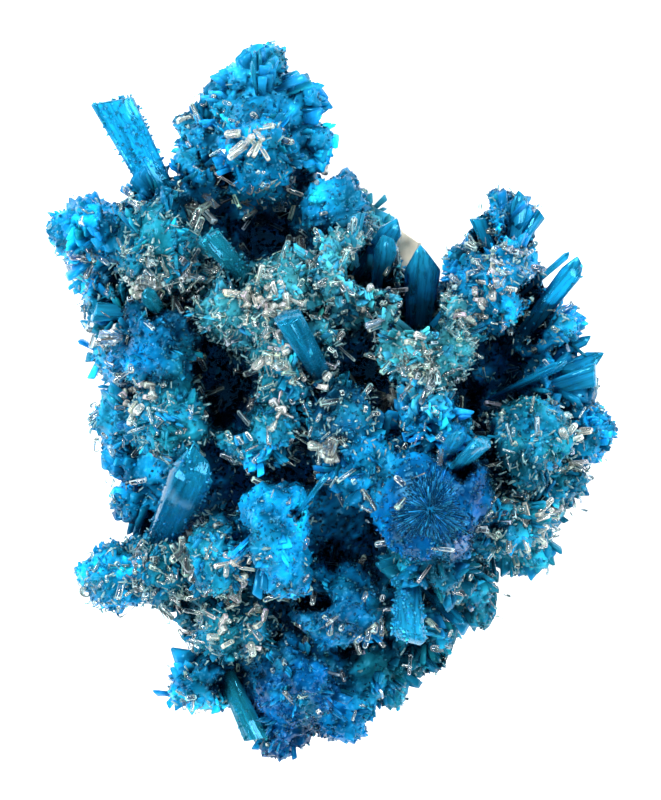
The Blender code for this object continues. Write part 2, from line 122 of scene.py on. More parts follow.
# The clubs of a spray: how many on half a ball, the turn from one to the next, their length and width as
# shares of the spray's reach, how far the shortest reaches, and how fast they get shorter where a spray is
# narrower than so many degrees and comes to a point
CLUBS = 9
GOLDEN_TURN = math.pi * (3.0 - math.sqrt(5.0))
CLUB_SHARE = 0.42
CLUB_WIDTH = 0.24
SHORTEST_CLUB = 0.68
NARROW = 40
TO_POINT = 0.22

# How many short crystals grow on each square mm of the mass and of the large crystals, how much lighter the
# druse is than what it grows on, and how high the frost may stand
DRUSE_ON_MASS = 9.0
DRUSE_ON_LARGE = 8.0
FROST_ON_MASS = 6.5
GRAINS_ON_MASS = 6.0
GRAINS_ON_LARGE = 14.0
SINGLES_ON_MASS = 0.45
DRUSE_LIGHT = 1.15
FROST_LIFT = 0.22

# The fine blades: bundles to each square mm, blades in a bundle, their width where a spray is finest
# and how much wider they are where it is most bladed, where they start, as a share of the spray's reach,
# how much they turn their broad side to the front, and painted shade at their feet, painted light at tips
BUNDLES = 1.4
IN_BUNDLE = 4
FINE_WIDTH = 0.26
WIDER = 0.75
BUNDLE_START = 0.3
FACING = 1.3
PAINTED_FOOT_SHADE = 0.4
PAINTED_TIP_LIGHT = 1.35

# How far from the mass a clear crystal may sit, and how much further on the most bladed sprays,
# and how far a tuft's crystals may be raised to the height of the others
SEAT = 0.25
SEAT_BLADED = 0.6
TUFT_LIFT = 0.6

# The blades round the cut: how many to each square mm, and how low and how high up they grow
SKIRT = 1.1
SKIRT_LOW = 0.4
SKIRT_TOP = 4.5

# The rosette: the middle of its dome, its height, how fast it falls, its radius, how wide its rim is, how
# deep it is built, how much of it is bare, and its fibres' number, where they start, and their lengths,
# widths and colours
ROSETTE = (4.9, -5.4)
ROSETTE_TOP = 13.9
ROSETTE_FALL = 0.16
ROSETTE_REACH = 2.3
ROSETTE_RIM = 0.8
ROSETTE_DEPTH = 3.5
ROSETTE_BARE = 0.5
FIBRES = 900
FIBRE_STARTS = (0.1, 1.4)
FIBRE_LENGTHS = (0.4, 1.4)
FIBRE_WIDTHS = (0.04, 0.08)
PALE_FIBRES = 0.35
PALE_FIBRE = (0.012, 0.17, 0.36)
DARK_FIBRE = (0.0005, 0.045, 0.15)

# The dark hollows between the crystals: how uneven their rims are, how far in they are left empty, and each
# one's place, middle, half width, half height and depth
RIM_WAVES = 0.4
OPEN_PIT = 0.15
PITS = [
    ("hollow under the spire", -3.3, 8.2, 1.9, 1.2, 5.0),
    ("hollow left of the middle", -4.8, -0.2, 1.4, 1.8, 6.0),
    ("hollow in the middle", 1.9, 1.3, 1.3, 0.8, 5.0),
    ("hollow left of the druse ball", 6.7, -0.1, 0.8, 1.1, 5.0),
    ("hollow under the cone", 0.1, -7.7, 0.5, 0.8, 5.0),
    ("hollow above the bottom lobe", -0.8, -10.0, 0.9, 0.5, 4.0),
    ("hollow at the spire's foot", -5.3, 11.0, 0.5, 0.5, 1.5),
    ("hollow beside the blue mass", -6.1, 1.9, 0.8, 1.2, 4.0),
]

# The large crystals: how narrow their feet are, how slanted their ends, how long their tips, how wide their
# worn edges, and the grooves along them: how far they are drawn out, and how many there are to a millimetre
FOOT_TAPER = 0.65
SLANT = 0.35
TIP_OF_LENGTH = 0.45
TIP_OF_WIDTH = 0.9
WORN_EDGE = 0.035
GROOVE_STRETCH = 0.08
GROOVES = 5.0

# How far the mass stays under a large crystal, how far small crystals may stand above it, from which share of
# its length on, and how far past its sides
UNDER_BLADE = 0.3
ABOVE_BLADE = 0.75
CLEAR_FROM = 0.2
BESIDE_BLADE = 0.15

# How open the surface is: rays from each point, how far off they start, how far they spread and reach, and
# the openness at which the painted shade is full and where it ends
OPEN_RAYS = 8
OPEN_START = 0.12
OPEN_SPREAD = 0.95
OPEN_REACH = 3.5
FULL_SHADE_OPENNESS = 0.25
NO_SHADE_OPENNESS = 0.85

# Where the mass faces down, how thickly crystals cover it there, and how low its cut is
DOWNWARD = -0.3
COVER_BELOW = 0.45
CUT_HEIGHT = 0.02


@dataclass
class Spray:
    """Blades that grew out of one point, up to so many degrees from one direction.

    Frost is how thickly zeolites cover them, and bladed is how large the blades are, both from 0 to 1.
    """

    place: str
    centre: tuple
    toward: tuple
    reach: float
    spread: float
    colour: str
    frost: float
    bladed: float


@dataclass
class Blade:
    """One large crystal, as the solid has it, with its colour and how much druse covers it."""

    place: str
    foot: tuple
    tip: tuple
    width: float
    thickness: float
    roll: float
    end: str
    colour: str
    coat: float


@dataclass
class Kind:
    """A kind of small crystal: its sizes in mm, how far its foot is sunk, and how much its colour varies."""

    lengths: tuple
    widths: tuple
    flatness: tuple
    sunk: float
    variety: float


@dataclass
class Tuft:
    """A tuft of zeolite crystals on the front, at a place seen from the front."""

    place: str
    x: float
    y: float
    radius: float
    count: int
    length: float
    width: float
    milky: bool


DRUSE = Kind(lengths=(0.16, 0.34), widths=(0.13, 0.30), flatness=(0.4, 0.9), sunk=0.1, variety=0.35)
FROST_ROD = Kind(lengths=(0.2, 0.5), widths=(0.09, 0.18), flatness=(0.5, 0.9), sunk=0.0, variety=0.35)
SINGLE_ROD = Kind(lengths=(0.5, 1.3), widths=(0.2, 0.34), flatness=(0.5, 0.8), sunk=0.05, variety=0.35)
SKIRT_BLADE = Kind(lengths=(0.6, 1.3), widths=(0.3, 0.65), flatness=(0.3, 0.5), sunk=0.15, variety=0.3)

# The joining mass: centre and radius of each lump, from the top of the cluster down
LUMPS = [
    ((-3.6, 12.2, 5.4), 2.5),
    ((-4.6, 8.4, 2.7), 3.8),
    ((-8.2, 7.0, 5.0), 2.8),
    ((-0.2, 6.8, 3.0), 3.6),
    ((8.4, 5.2, 5.6), 2.4),
    ((-7.0, 2.4, 2.6), 4.2),
    ((-1.4, 2.2, 2.4), 5.4),
    ((4.8, 1.2, 2.6), 4.9),
    ((9.4, 0.2, 4.2), 3.2),
    ((-5.6, -3.4, 2.5), 4.7),
    ((0.8, -3.8, 2.6), 5.4),
    ((7.4, -3.6, 2.8), 4.5),
    ((-8.2, -8.5, 6.0), 1.9),
    ((-3.0, -9.0, 2.6), 4.5),
    ((3.2, -8.4, 2.7), 4.1),
    ((-2.2, -12.8, 3.0), 3.5),
]

SPRAYS = [
    Spray("spire crown", (-3.5, 14.8, 6.9), (0.0, 1.0, 0.1), 3.4, 45, "cyan", 0.1, 0.5),
    Spray("spire upper left", (-4.8, 14.3, 6.6), (-0.9, 0.5, 0.2), 2.3, 50, "azure", 0.5, 0.3),
    Spray("spire upper right", (-2.2, 14.5, 6.8), (0.9, 0.6, 0.1), 2.4, 50, "azure", 0.05, 0.6),
    Spray("spire left knob", (-6.0, 12.9, 6.6), (-1.0, 0.3, 0.3), 2.3, 52, "cyan", 0.2, 0.4),
    Spray("spire right side", (-1.8, 12.6, 6.8), (1.0, 0.2, 0.3), 2.4, 52, "azure", 0.1, 0.6),
    Spray("spire front", (-3.8, 12.2, 7.6), (-0.1, 0.2, 1.0), 3.4, 56, "azure", 0.25, 0.15),
    Spray("spire back", (-3.6, 12.6, 5.0), (0.0, 0.6, -1.0), 2.6, 56, "azure", 0.1, 0.5),
    Spray("spire foot", (-6.4, 10.8, 7.0), (-0.8, 0.5, 0.5), 2.3, 50, "royal", 0.3, 0.3),
    Spray("dome beside the spire", (0.2, 9.5, 8.2), (0.2, 0.4, 0.9), 2.3, 85, "azure", 0.05, 0.0),
    Spray("foot of the fins", (2.4, 5.8, 7.0), (0.2, 0.7, 0.6), 2.2, 55, "royal", 0.1, 0.4),
    Spray("left fan", (-11.4, 8.3, 7.4), (-1.0, 0.35, 0.2), 3.1, 57, "azure", 0.3, 0.5),
    Spray("left fan underside", (-11.0, 6.7, 5.8), (-0.8, -0.5, -0.3), 2.6, 57, "azure", 0.5, 0.3),
    Spray("left shoulder", (-8.4, 7.2, 8.8), (-0.2, 0.1, 1.0), 3.4, 59, "teal", 0.6, 0.2),
    Spray("left shoulder top", (-8.5, 9.6, 7.4), (-0.5, 0.7, 0.5), 2.4, 55, "royal", 0.4, 0.3),
    Spray("left brow", (-10.4, 4.2, 6.8), (-1.0, 0.1, 0.4), 2.4, 52, "teal", 0.6, 0.4),
    Spray("left blue mass", (-8.8, 2.6, 8.4), (-0.3, 0.0, 1.0), 3.4, 66, "royal", 0.1, 0.05),
    Spray("left flank", (-9.6, -1.0, 6.2), (-1.0, 0.0, 0.2), 2.6, 54, "cyan", 0.4, 0.8),
    Spray("left flank low", (-9.5, -3.2, 5.2), (-1.0, 0.0, 0.0), 2.3, 50, "azure", 0.4, 0.6),
    Spray("left flank front", (-7.8, -0.8, 8.8), (-0.4, -0.2, 1.0), 3.0, 59, "teal", 0.5, 0.2),
    Spray("left lower flank", (-9.0, -5.4, 4.6), (-1.0, -0.1, 0.0), 2.2, 50, "azure", 0.2, 0.8),
    Spray("club head", (-10.7, -9.1, 7.4), (-1.0, 0.0, 0.2), 2.3, 95, "azure", 0.5, 0.1),
    Spray("club handle", (-8.4, -8.7, 7.4), (-0.2, -0.3, 1.0), 2.3, 69, "teal", 0.6, 0.1),
    Spray("white burst", (-4.6, 4.6, 9.6), (-0.3, 0.3, 1.0), 3.0, 59, "pale", 0.8, 0.1),
    Spray("pale cluster", (-2.6, 4.8, 10.4), (0.0, 0.3, 1.0), 3.3, 60, "pale", 0.9, 0.1),
    Spray("seat of the big tablet", (-1.6, 2.2, 10.4), (0.0, -0.2, 1.0), 3.2, 59, "teal", 0.7, 0.2),
    Spray("middle left", (-3.6, -1.4, 9.6), (0.0, 0.0, 1.0), 3.2, 59, "teal", 0.5, 0.2),
    Spray("coated tablets", (1.0, 5.8, 9.8), (0.0, 0.2, 1.0), 3.9, 50, "pale", 0.8, 0.2),
    Spray("middle", (0.4, -1.2, 10.2), (0.0, 0.0, 1.0), 3.3, 59, "navy", 0.5, 0.1),
    Spray("pale club", (4.7, 2.6, 11.0), (0.0, 0.1, 1.0), 3.5, 78, "pale", 0.8, 0.15),
    Spray("tower crown", (8.7, 8.0, 8.8), (0.05, 1.0, 0.2), 2.7, 52, "azure", 0.3, 0.1),
    Spray("tower front", (8.4, 5.6, 9.2), (-0.1, 0.1, 1.0), 3.3, 64, "azure", 0.4, 0.05),
    Spray("tower left side", (7.6, 6.4, 8.0), (-1.0, 0.2, 0.2), 2.2, 52, "royal", 0.4, 0.25),
    Spray("tower back", (8.6, 6.0, 6.2), (0.2, 0.5, -0.9), 2.5, 60, "azure", 0.2, 0.4),
    Spray("right shoulder", (10.6, 3.3, 8.0), (0.8, 0.4, 0.5), 2.6, 54, "azure", 0.5, 0.5),
    Spray("right hand", (10.8, 0.8, 7.6), (1.0, 0.2, 0.3), 2.8, 52, "royal", 0.3, 0.5),
    Spray("right lump", (12.4, -1.9, 6.6), (1.0, 0.0, 0.2), 2.2, 90, "azure", 0.3, 0.2),
    Spray("druse ball", (9.8, -1.9, 10.0), (0.1, 0.0, 1.0), 3.0, 80, "teal", 0.5, 0.05),
    Spray("right lower edge", (10.8, -4.2, 7.2), (1.0, -0.2, 0.2), 2.3, 60, "teal", 0.6, 0.4),
    Spray("right lower corner", (9.4, -6.4, 6.4), (0.8, -0.6, 0.1), 2.7, 60, "teal", 0.5, 0.4),
    Spray("right lower front", (8.2, -5.8, 8.6), (0.3, -0.3, 1.0), 3.0, 59, "teal", 0.6, 0.2),
    Spray("rosette", (4.9, -5.0, 10.8), (0.0, -0.1, 1.0), 4.4, 62, "deep", 0.0, 0.0),
    Spray("above the rosette", (5.0, -1.4, 10.4), (0.0, 0.3, 1.0), 3.4, 60, "azure", 0.3, 0.4),
    Spray("left of the rosette", (2.2, -3.4, 10.0), (-0.4, 0.1, 1.0), 3.5, 60, "azure", 0.3, 0.3),
    Spray("below the rosette", (4.6, -8.0, 8.8), (0.1, -0.6, 0.8), 3.3, 56, "teal", 0.3, 0.5),
    Spray("cone", (-2.7, -5.8, 11.2), (0.0, -0.95, 0.35), 4.4, 34, "azure", 0.12, 0.2),
    Spray("left of the cone", (-5.4, -7.6, 8.4), (-0.5, -0.5, 0.8), 3.1, 56, "teal", 0.6, 0.2),
    Spray("blue stub", (0.3, -10.2, 8.2), (0.0, -0.3, 1.0), 3.5, 58, "royal", 0.05, 0.05),
    Spray("lower right edge", (4.2, -11.6, 5.2), (0.8, -0.6, 0.1), 2.6, 54, "teal", 0.3, 0.6),
    Spray("lower right corner", (6.6, -9.2, 5.2), (0.8, -0.6, 0.1), 2.7, 52, "teal", 0.2, 0.5),
    Spray("lower right flank", (2.0, -13.3, 4.8), (0.8, -0.5, 0.1), 2.8, 54, "teal", 0.1, 0.3),
    Spray("pale foot", (-4.6, -11.2, 6.6), (-0.5, 0.0, 1.0), 3.0, 59, "teal", 0.5, 0.1),
    Spray("left lobe", (-6.0, -14.0, 4.6), (-0.8, -0.6, 0.1), 2.4, 62, "azure", 0.4, 0.4),
    Spray("left lobe top", (-5.9, -11.3, 4.8), (-1.0, 0.2, 0.1), 2.1, 50, "teal", 0.4, 0.4),
    Spray("bottom front", (-1.6, -14.0, 6.0), (0.0, -0.2, 1.0), 3.4, 59, "deep", 0.05, 0.1),
    Spray("bottom tip", (-2.2, -15.7, 4.8), (0.0, -1.0, 0.1), 2.7, 60, "deep", 0.05, 0.15),
    Spray("bottom right", (0.4, -15.0, 4.8), (0.6, -0.8, 0.1), 2.6, 54, "royal", 0.05, 0.2),
]

BLADES = [
    Blade("upper left", (-7.8, 9.0, 6.8), (-11.1, 15.3, 8.6), 2.2, 0.7, 10, "flat", "azure", 0.6),
    Blade("big tablet", (0.1, 0.3, 9.8), (-2.2, 4.3, 14.2), 1.6, 1.2, 30, "flat", "royal", 0.0),
    Blade("long coated tablet", (-3.4, 5.2, 8.6), (-6.2, 8.3, 11.6), 1.3, 0.6, 20, "flat", "teal", 0.6),
    Blade("dark prism", (-8.8, -7.8, 6.4), (-6.3, -2.4, 12.0), 2.3, 1.2, 0, "chisel", "royal", 0.4),
    Blade("first fin", (0.6, 5.0, 4.6), (3.5, 9.1, 9.2), 1.3, 0.5, 30, "point", "cyan", 0.0),
    Blade("second fin", (2.3, 4.8, 6.4), (2.9, 8.3, 10.0), 1.3, 0.5, 20, "chisel", "cyan", 0.0),
    Blade("third fin", (4.3, 2.2, 5.2), (4.7, 7.9, 9.0), 1.9, 0.7, 10, "point", "cyan", 0.0),
    Blade("tower tip", (9.0, 7.4, 8.4), (9.6, 10.5, 9.2), 1.0, 0.45, 15, "chisel", "cyan", 0.05),
    Blade("tower dark knob", (9.2, 7.4, 8.2), (10.6, 9.4, 8.6), 0.7, 0.45, 40, "flat", "azure", 0.0),
    Blade("tower left corner", (8.2, 7.0, 8.4), (7.3, 9.2, 9.2), 0.9, 0.5, 0, "flat", "azure", 0.1),
    Blade("right needle", (8.8, 4.6, 6.4), (12.0, 7.4, 8.6), 0.4, 0.3, 0, "point", "cyan", 0.0),
    Blade("long right blade", (8.8, 2.2, 6.8), (12.6, 7.1, 9.4), 1.2, 0.55, 20, "chisel", "azure", 0.1),
    Blade("small right blade", (10.6, 1.8, 7.4), (13.1, 3.2, 8.4), 0.6, 0.3, 30, "point", "cyan", 0.0),
    Blade("right wing", (10.6, 1.0, 7.4), (13.8, 2.3, 8.4), 1.0, 0.4, 10, "point", "cyan", 0.0),
    Blade("right wing tablet", (10.4, 0.4, 7.6), (13.4, 1.3, 9.2), 1.2, 0.45, 15, "flat", "cyan", 0.0),
    Blade("long dark blade", (8.0, 0.0, 8.0), (11.9, 2.0, 10.4), 0.9, 0.35, 70, "chisel", "azure", 0.0),
    Blade("rosette tablet", (5.6, -4.0, 10.4), (7.6, -2.0, 14.4), 1.3, 0.55, 60, "flat", "cyan", 0.0),
    Blade("rosette chisel", (5.2, -3.4, 10.4), (6.5, -1.5, 14.8), 1.1, 0.45, 40, "chisel", "cyan", 0.0),
    Blade("cone needle", (-2.2, -6.4, 11.2), (-0.1, -3.6, 14.0), 0.32, 0.24, 0, "point", "azure", 0.0),
    Blade("azure prism", (3.9, -8.2, 7.4), (3.9, -12.0, 11.2), 1.7, 0.9, 0, "flat", "cyan", 1.2),
    Blade("lower right spear", (3.6, -8.6, 4.0), (6.7, -11.3, 6.8), 0.7, 0.35, 10, "point", "azure", 0.0),
    Blade("lower edge spear", (3.6, -11.8, 4.8), (5.6, -13.3, 5.6), 0.7, 0.35, 10, "point", "cyan", 0.0),
    Blade("teal blade", (-5.7, -12.8, 4.4), (-3.6, -17.3, 5.6), 1.5, 0.55, 35, "flat", "teal", 0.1),
    Blade("left edge block", (-9.8, 4.4, 7.2), (-12.0, 4.4, 8.2), 1.1, 0.65, 15, "flat", "cyan", 0.0),
    Blade("upper stub", (-8.2, 4.0, 8.0), (-9.3, 5.5, 11.8), 1.0, 0.5, 30, "chisel", "teal", 0.0),
]

TUFTS = [
    Tuft("white clump on the spire", -3.9, 13.0, 0.7, 10, 1.1, 0.38, True),
    Tuft("flower under the spire", -3.8, 9.8, 0.6, 10, 1.2, 0.32, False),
    Tuft("rod flock left of the spire", -6.4, 9.9, 0.7, 7, 1.3, 0.34, False),
    Tuft("pale lumps on the left spire", -6.6, 14.4, 0.6, 8, 0.8, 0.36, True),
    Tuft("pale lump on the right spire", -0.4, 11.9, 0.4, 5, 0.8, 0.40, True),
    Tuft("crystals under the left fan", -12.4, 7.0, 0.8, 18, 0.8, 0.28, False),
    Tuft("white lumps on the left shoulder", -9.1, 5.6, 0.7, 12, 0.8, 0.40, True),
    Tuft("crystals on the left shoulder", -8.0, 6.6, 1.0, 18, 0.9, 0.30, False),
    Tuft("white block on the left edge", -11.2, 3.2, 0.5, 6, 0.9, 0.45, True),
    Tuft("white burst", -4.2, 5.2, 0.6, 12, 1.2, 0.34, True),
    Tuft("pale cluster", -2.7, 4.8, 0.9, 22, 0.8, 0.36, True),
    Tuft("pale lobe left of the tablet", -2.9, 2.4, 0.8, 16, 0.7, 0.38, True),
    Tuft("pale lobe under the tablet", -0.9, 1.4, 0.8, 17, 0.7, 0.36, True),
    Tuft("crystals on the coated tablet", 0.9, 6.4, 1.1, 36, 0.7, 0.28, False),
    Tuft("white crystals on the coated tablet", 1.2, 5.6, 0.8, 14, 0.6, 0.32, True),
    Tuft("pale lumps of the club", 4.4, 3.6, 1.1, 26, 0.8, 0.38, True),
    Tuft("lower lumps of the club", 4.6, 1.6, 0.9, 20, 0.8, 0.34, False),
    Tuft("grey pillar", 6.6, 3.9, 0.6, 12, 0.8, 0.34, True),
    Tuft("crystals on the tower", 8.4, 7.2, 1.3, 36, 0.8, 0.28, False),
    Tuft("white crystals on the tower", 8.1, 5.6, 1.0, 10, 0.8, 0.32, True),
    Tuft("flower above the blue stub", -2.8, -0.6, 0.5, 8, 0.8, 0.34, True),
    Tuft("white lumps in the middle", 2.8, -0.2, 0.6, 10, 0.8, 0.36, True),
    Tuft("white blocks above the cone", 0.0, -2.4, 0.5, 7, 0.8, 0.40, True),
    Tuft("fringe of the cone", -4.6, -8.3, 0.7, 14, 0.7, 0.30, True),
    Tuft("crystals on the dark prism", -7.4, -7.2, 0.8, 10, 1.3, 0.40, False),
    Tuft("crystals on the club", -9.2, -8.8, 1.1, 20, 0.7, 0.28, False),
    Tuft("brownish pale cluster", -4.6, -11.2, 1.2, 20, 0.8, 0.32, True),
    Tuft("needle fan at the right", 11.7, -3.1, 0.5, 8, 1.0, 0.22, True),
    Tuft("pale crystals on the right lump", 12.0, -1.7, 0.5, 7, 0.8, 0.32, True),
    Tuft("tan crystals at the lower right", 10.4, -6.4, 0.9, 14, 0.9, 0.30, True),
    Tuft("crystals left of the azure prism", 2.2, -11.6, 0.6, 11, 0.8, 0.28, False),
    Tuft("grains on the left flank", -9.4, 0.2, 0.9, 16, 0.8, 0.32, True),
]


@dataclass
class Shape:
    """A crystal of unit size: each corner's place across, its share of the length and its setback in widths.

    Worn faces are the narrow ones along its edges, which are frosted.
    """

    across: np.ndarray
    along: np.ndarray
    setback: np.ndarray
    faces: list
    worn: list


class Growth:
    """A growing list of crystals of one shape, to be joined in one mesh."""

    def __init__(self, shape):
        self.shape = shape
        self.parts = []
        self.tints = []

    def add(self, feet, axes, lengths, widths, flatness, tints, chance, sides=None, painted_foot_shade=1.0):
        """Adds crystals: their feet, directions, sizes and colours, and which way their broad side lies."""
        count = len(feet)
        if count == 0:
            return
        axes = unit_rows(axes)
        if sides is None:
            sides = chance.normal(size=(count, 3))
        side = unit_rows(np.cross(axes, sides))
        depth = np.cross(axes, side)
        shape = self.shape
        offset_side = shape.across[None, :, 0] * widths[:, None]
        offset_depth = shape.across[None, :, 1] * (widths * flatness)[:, None]
        height = shape.along[None, :] * lengths[:, None] - shape.setback[None, :] * widths[:, None]
        places = (
            feet[:, None, :]
            + offset_side[:, :, None] * side[:, None, :]
            + offset_depth[:, :, None] * depth[:, None, :]
            + height[:, :, None] * axes[:, None, :]
        )
        self.parts.append(places)
        # Painted shade at the crystals' feet and painted light at their tips, when a foot shade under one is
        # given
        painted_shade = np.ones_like(shape.along)
        if painted_foot_shade < 1.0:
            painted_shade = painted_foot_shade + (PAINTED_TIP_LIGHT - painted_foot_shade) * shape.along
        self.tints.append(tints[:, None, :] * painted_shade[None, :, None])

    def crystals(self):
        """Returns all corners and tints, one row of corners for each crystal."""
        return np.concatenate(self.parts), np.concatenate(self.tints)


def ring(sides, width, thickness):
    """Returns the corners of one flattened ring."""
    angles = np.arange(sides) * math.tau / sides
    return np.stack([0.5 * width * np.cos(angles), 0.5 * thickness * np.sin(angles)], axis=1)


def strip(sides, low, high):
    """Returns the faces between two rings that start at two corner numbers."""
    faces = []
    for index in range(sides):
        after = (index + 1) % sides
        faces.append((low + index, low + after, high + after, high + index))
    return faces


def splinter_shape():
    """Returns a thin four-sided crystal with a point a little to one side."""
    across = np.concatenate([0.7 * ring(4, 1.0, 1.0), ring(4, 1.0, 1.0), [[0.12, 0.0]]])
    along = np.array([0.0] * 4 + [1.0] * 5)
    setback = np.array([0.0] * 4 + [0.5, 0.7, 0.9, 0.7] + [0.0])
    faces = [(3, 2, 1, 0)] + strip(4, 0, 4)
    faces += [(4 + index, 4 + (index + 1) % 4, 8) for index in range(4)]
    return Shape(across, along, setback, faces, [])


def tooth_shape():
    """Returns a flat six-sided blade that widens to a slanted chisel end."""
    full = np.array([[0.5, 0.0], [0.36, 0.5], [-0.36, 0.5], [-0.5, 0.0], [-0.36, -0.5], [0.36, -0.5]])
    across = np.concatenate([0.7 * full, full, [[0.38, 0.0], [-0.4, 0.0]]])
    along = np.array([0.0] * 6 + [1.0] * 8)
    setback = np.array([0.0] * 6 + [0.12, 0.3, 0.6, 0.5, 0.6, 0.3] + [0.0, 0.32])
    faces = [(5, 4, 3, 2, 1, 0)] + strip(6, 0, 6)
    faces += [(6, 7, 12), (7, 8, 13, 12), (8, 9, 13), (9, 10, 13), (10, 11, 12, 13), (11, 6, 12)]
    return Shape(across, along, setback, faces, [])


def rod_shape():
    """Returns an eight-sided tablet, square to the eye, with both ends a little bevelled."""
    quarter = [(0.5, 0.3), (0.4, 0.5), (-0.4, 0.5), (-0.5, 0.3)]
    full = np.array(quarter + [(-x, -y) for x, y in quarter])
    across = np.concatenate([full * (0.6, 0.8), full, full, full * (0.5, 0.8)])
    along = np.array([0.0] * 16 + [1.0] * 16)
    rounded = [0.36, 0.28, 0.28, 0.36] * 2
    setback = np.array([0.0] * 8 + [-step for step in rounded] + rounded + [0.0] * 8)
    faces = [(7, 6, 5, 4, 3, 2, 1, 0)] + strip(8, 0, 8) + strip(8, 8, 16) + strip(8, 16, 24)
    faces.append(tuple(range(24, 32)))
    worn = list(range(1, 9)) + [9, 11, 13, 15] + list(range(17, 25))
    return Shape(across, along, setback, faces, worn)


def grain_shape():
    """Returns a small lump with eight faces."""
    across = np.concatenate([[[0.0, 0.0]], ring(4, 1.0, 1.0), [[0.0, 0.0]]])
    along = np.array([0.0, 0.5, 0.5, 0.5, 0.5, 1.0])
    setback = np.zeros(6)
    faces = []
    for index in range(4):
        after = (index + 1) % 4
        faces.append((0, 1 + after, 1 + index))
        faces.append((1 + index, 1 + after, 5))
    return Shape(across, along, setback, faces, [])


def unit(vector):
    """Returns the vector at length one."""
    made = np.array(vector, float)
    return made / np.linalg.norm(made)


def unit_rows(vectors):
    """Returns the vectors, one in each row, at length one."""
    return vectors / np.linalg.norm(vectors, axis=1, keepdims=True)


def directions_round(toward, spread, count, chance):
    """Returns directions spread evenly over the cap of a sphere."""
    axis = unit(toward)
    helper = np.array([1.0, 0.0, 0.0]) if abs(axis[0]) < 0.7 else np.array([0.0, 1.0, 0.0])
    first = unit(np.cross(axis, helper))
    second = np.cross(axis, first)
    cosine = chance.uniform(math.cos(math.radians(spread)), 1.0, count)
    sine = np.sqrt(1.0 - cosine**2)
    turn = chance.uniform(0.0, math.tau, count)
    around = np.cos(turn)[:, None] * first + np.sin(turn)[:, None] * second
    return cosine[:, None] * axis + sine[:, None] * around


def varied(colours, chance, amount):
    """Returns the colours, each a little lighter or darker and of another hue."""
    count = len(colours)
    light = chance.lognormal(0.0, amount, count)[:, None]
    shift = chance.normal(0.0, 0.08, (count, 3))
    return np.clip(colours * light * (1.0 + shift), 0.0, 1.0)


def same(colour, count):
    """Returns one colour as many times as there are crystals."""
    return np.tile(np.array(colour, float), (count, 1))


def six_sided_section(width, thickness):
    """Returns the outline of a flattened six-sided crystal."""
    shoulder = 0.5 * width - 0.3 * thickness
    half = 0.5 * thickness
    return [
        Vector((0.5 * width, 0.0, 0.0)),
        Vector((shoulder, half, 0.0)),
        Vector((-shoulder, half, 0.0)),
        Vector((-0.5 * width, 0.0, 0.0)),
        Vector((-shoulder, -half, 0.0)),
        Vector((shoulder, -half, 0.0)),
    ]


def blade_place(blade):
    """Returns the matrix that sets a large crystal in its place."""
    foot = Vector(blade.foot)
    turn = (Vector(blade.tip) - foot).to_track_quat("Z", "Y").to_matrix().to_4x4()
    return Matrix.Translation(foot) @ turn @ Matrix.Rotation(math.radians(blade.roll), 4, "Z")


def large_blade(blade):
    """Returns a mesh of one large crystal: the solid's own form, with worn edges."""
    length = (Vector(blade.tip) - Vector(blade.foot)).length
    outline = six_sided_section(blade.width, blade.thickness)
    tip_length = min(TIP_OF_LENGTH * length, TIP_OF_WIDTH * blade.width)
    mesh = bmesh.new()
    lower = [mesh.verts.new(FOOT_TAPER * point) for point in outline]
    if blade.end == "flat":
        heights = [length + SLANT * (point.x - 0.5 * blade.width) for point in outline]
    else:
        heights = [length - tip_length] * 6
    upper = [mesh.verts.new(Vector((point.x, point.y, height))) for point, height in zip(outline, heights)]
    mesh.faces.new(list(reversed(lower)))
    for index in range(6):
        after = (index + 1) % 6
        mesh.faces.new((lower[index], lower[after], upper[after], upper[index]))
    close_end(mesh, upper, blade, length, tip_length)
    mesh.normal_update()
    sharp = [edge for edge in mesh.edges if edge.calc_face_angle(0.0) > 0.3]
    worn = WORN_EDGE * blade.width
    bmesh.ops.bevel(mesh, geom=sharp, offset=worn, segments=1, affect="EDGES", clamp_overlap=True)
    bmesh.ops.transform(mesh, matrix=blade_place(blade), verts=mesh.verts)
    return mesh


def close_end(mesh, ring_corners, blade, length, tip_length):
    """Closes a large crystal's far end as a point, a chisel edge or a slanted flat face."""
    if blade.end == "flat":
        mesh.faces.new(ring_corners)
        return
    if blade.end == "point":
        apex = mesh.verts.new(Vector((0.12 * blade.width, 0.0, length)))
        for index in range(6):
            mesh.faces.new((ring_corners[index], ring_corners[(index + 1) % 6], apex))
        return
    near = mesh.verts.new(Vector((0.26 * blade.width, 0.0, length)))
    far = mesh.verts.new(Vector((-0.26 * blade.width, 0.0, length - SLANT * tip_length)))
    a, b, c, d, e, f = ring_corners
    mesh.faces.new((a, b, near))
    mesh.faces.new((b, c, far, near))
    mesh.faces.new((c, d, far))
    mesh.faces.new((d, e, far))
    mesh.faces.new((e, f, near, far))
    mesh.faces.new((f, a, near))


def new_object(name, mesh):
    """Makes a scene object of a mesh."""
    made = bpy.data.objects.new(name, mesh)
    bpy.context.scene.collection.objects.link(made)
    return made


def rough_ball(mesh, centre, radii, axis, seed):
    """Adds one uneven ball, longer or shorter along its axis."""
    ball = bmesh.ops.create_icosphere(mesh, subdivisions=3, radius=1.0)
    along = Vector(axis).normalized()
    shift = Vector((seed * 3.7, seed * 1.3, seed * 2.1))
    for corner in ball["verts"]:
        way = corner.co.normalized()
        swell = 1.0 + 2.0 * BODY_ROUGHNESS * noise.fractal(1.6 * way + shift, 1.0, 2.0, 3)
        stretch = radii[1] + (radii[0] - radii[1]) * abs(way.dot(along))
        corner.co = Vector(centre) + way * stretch * swell


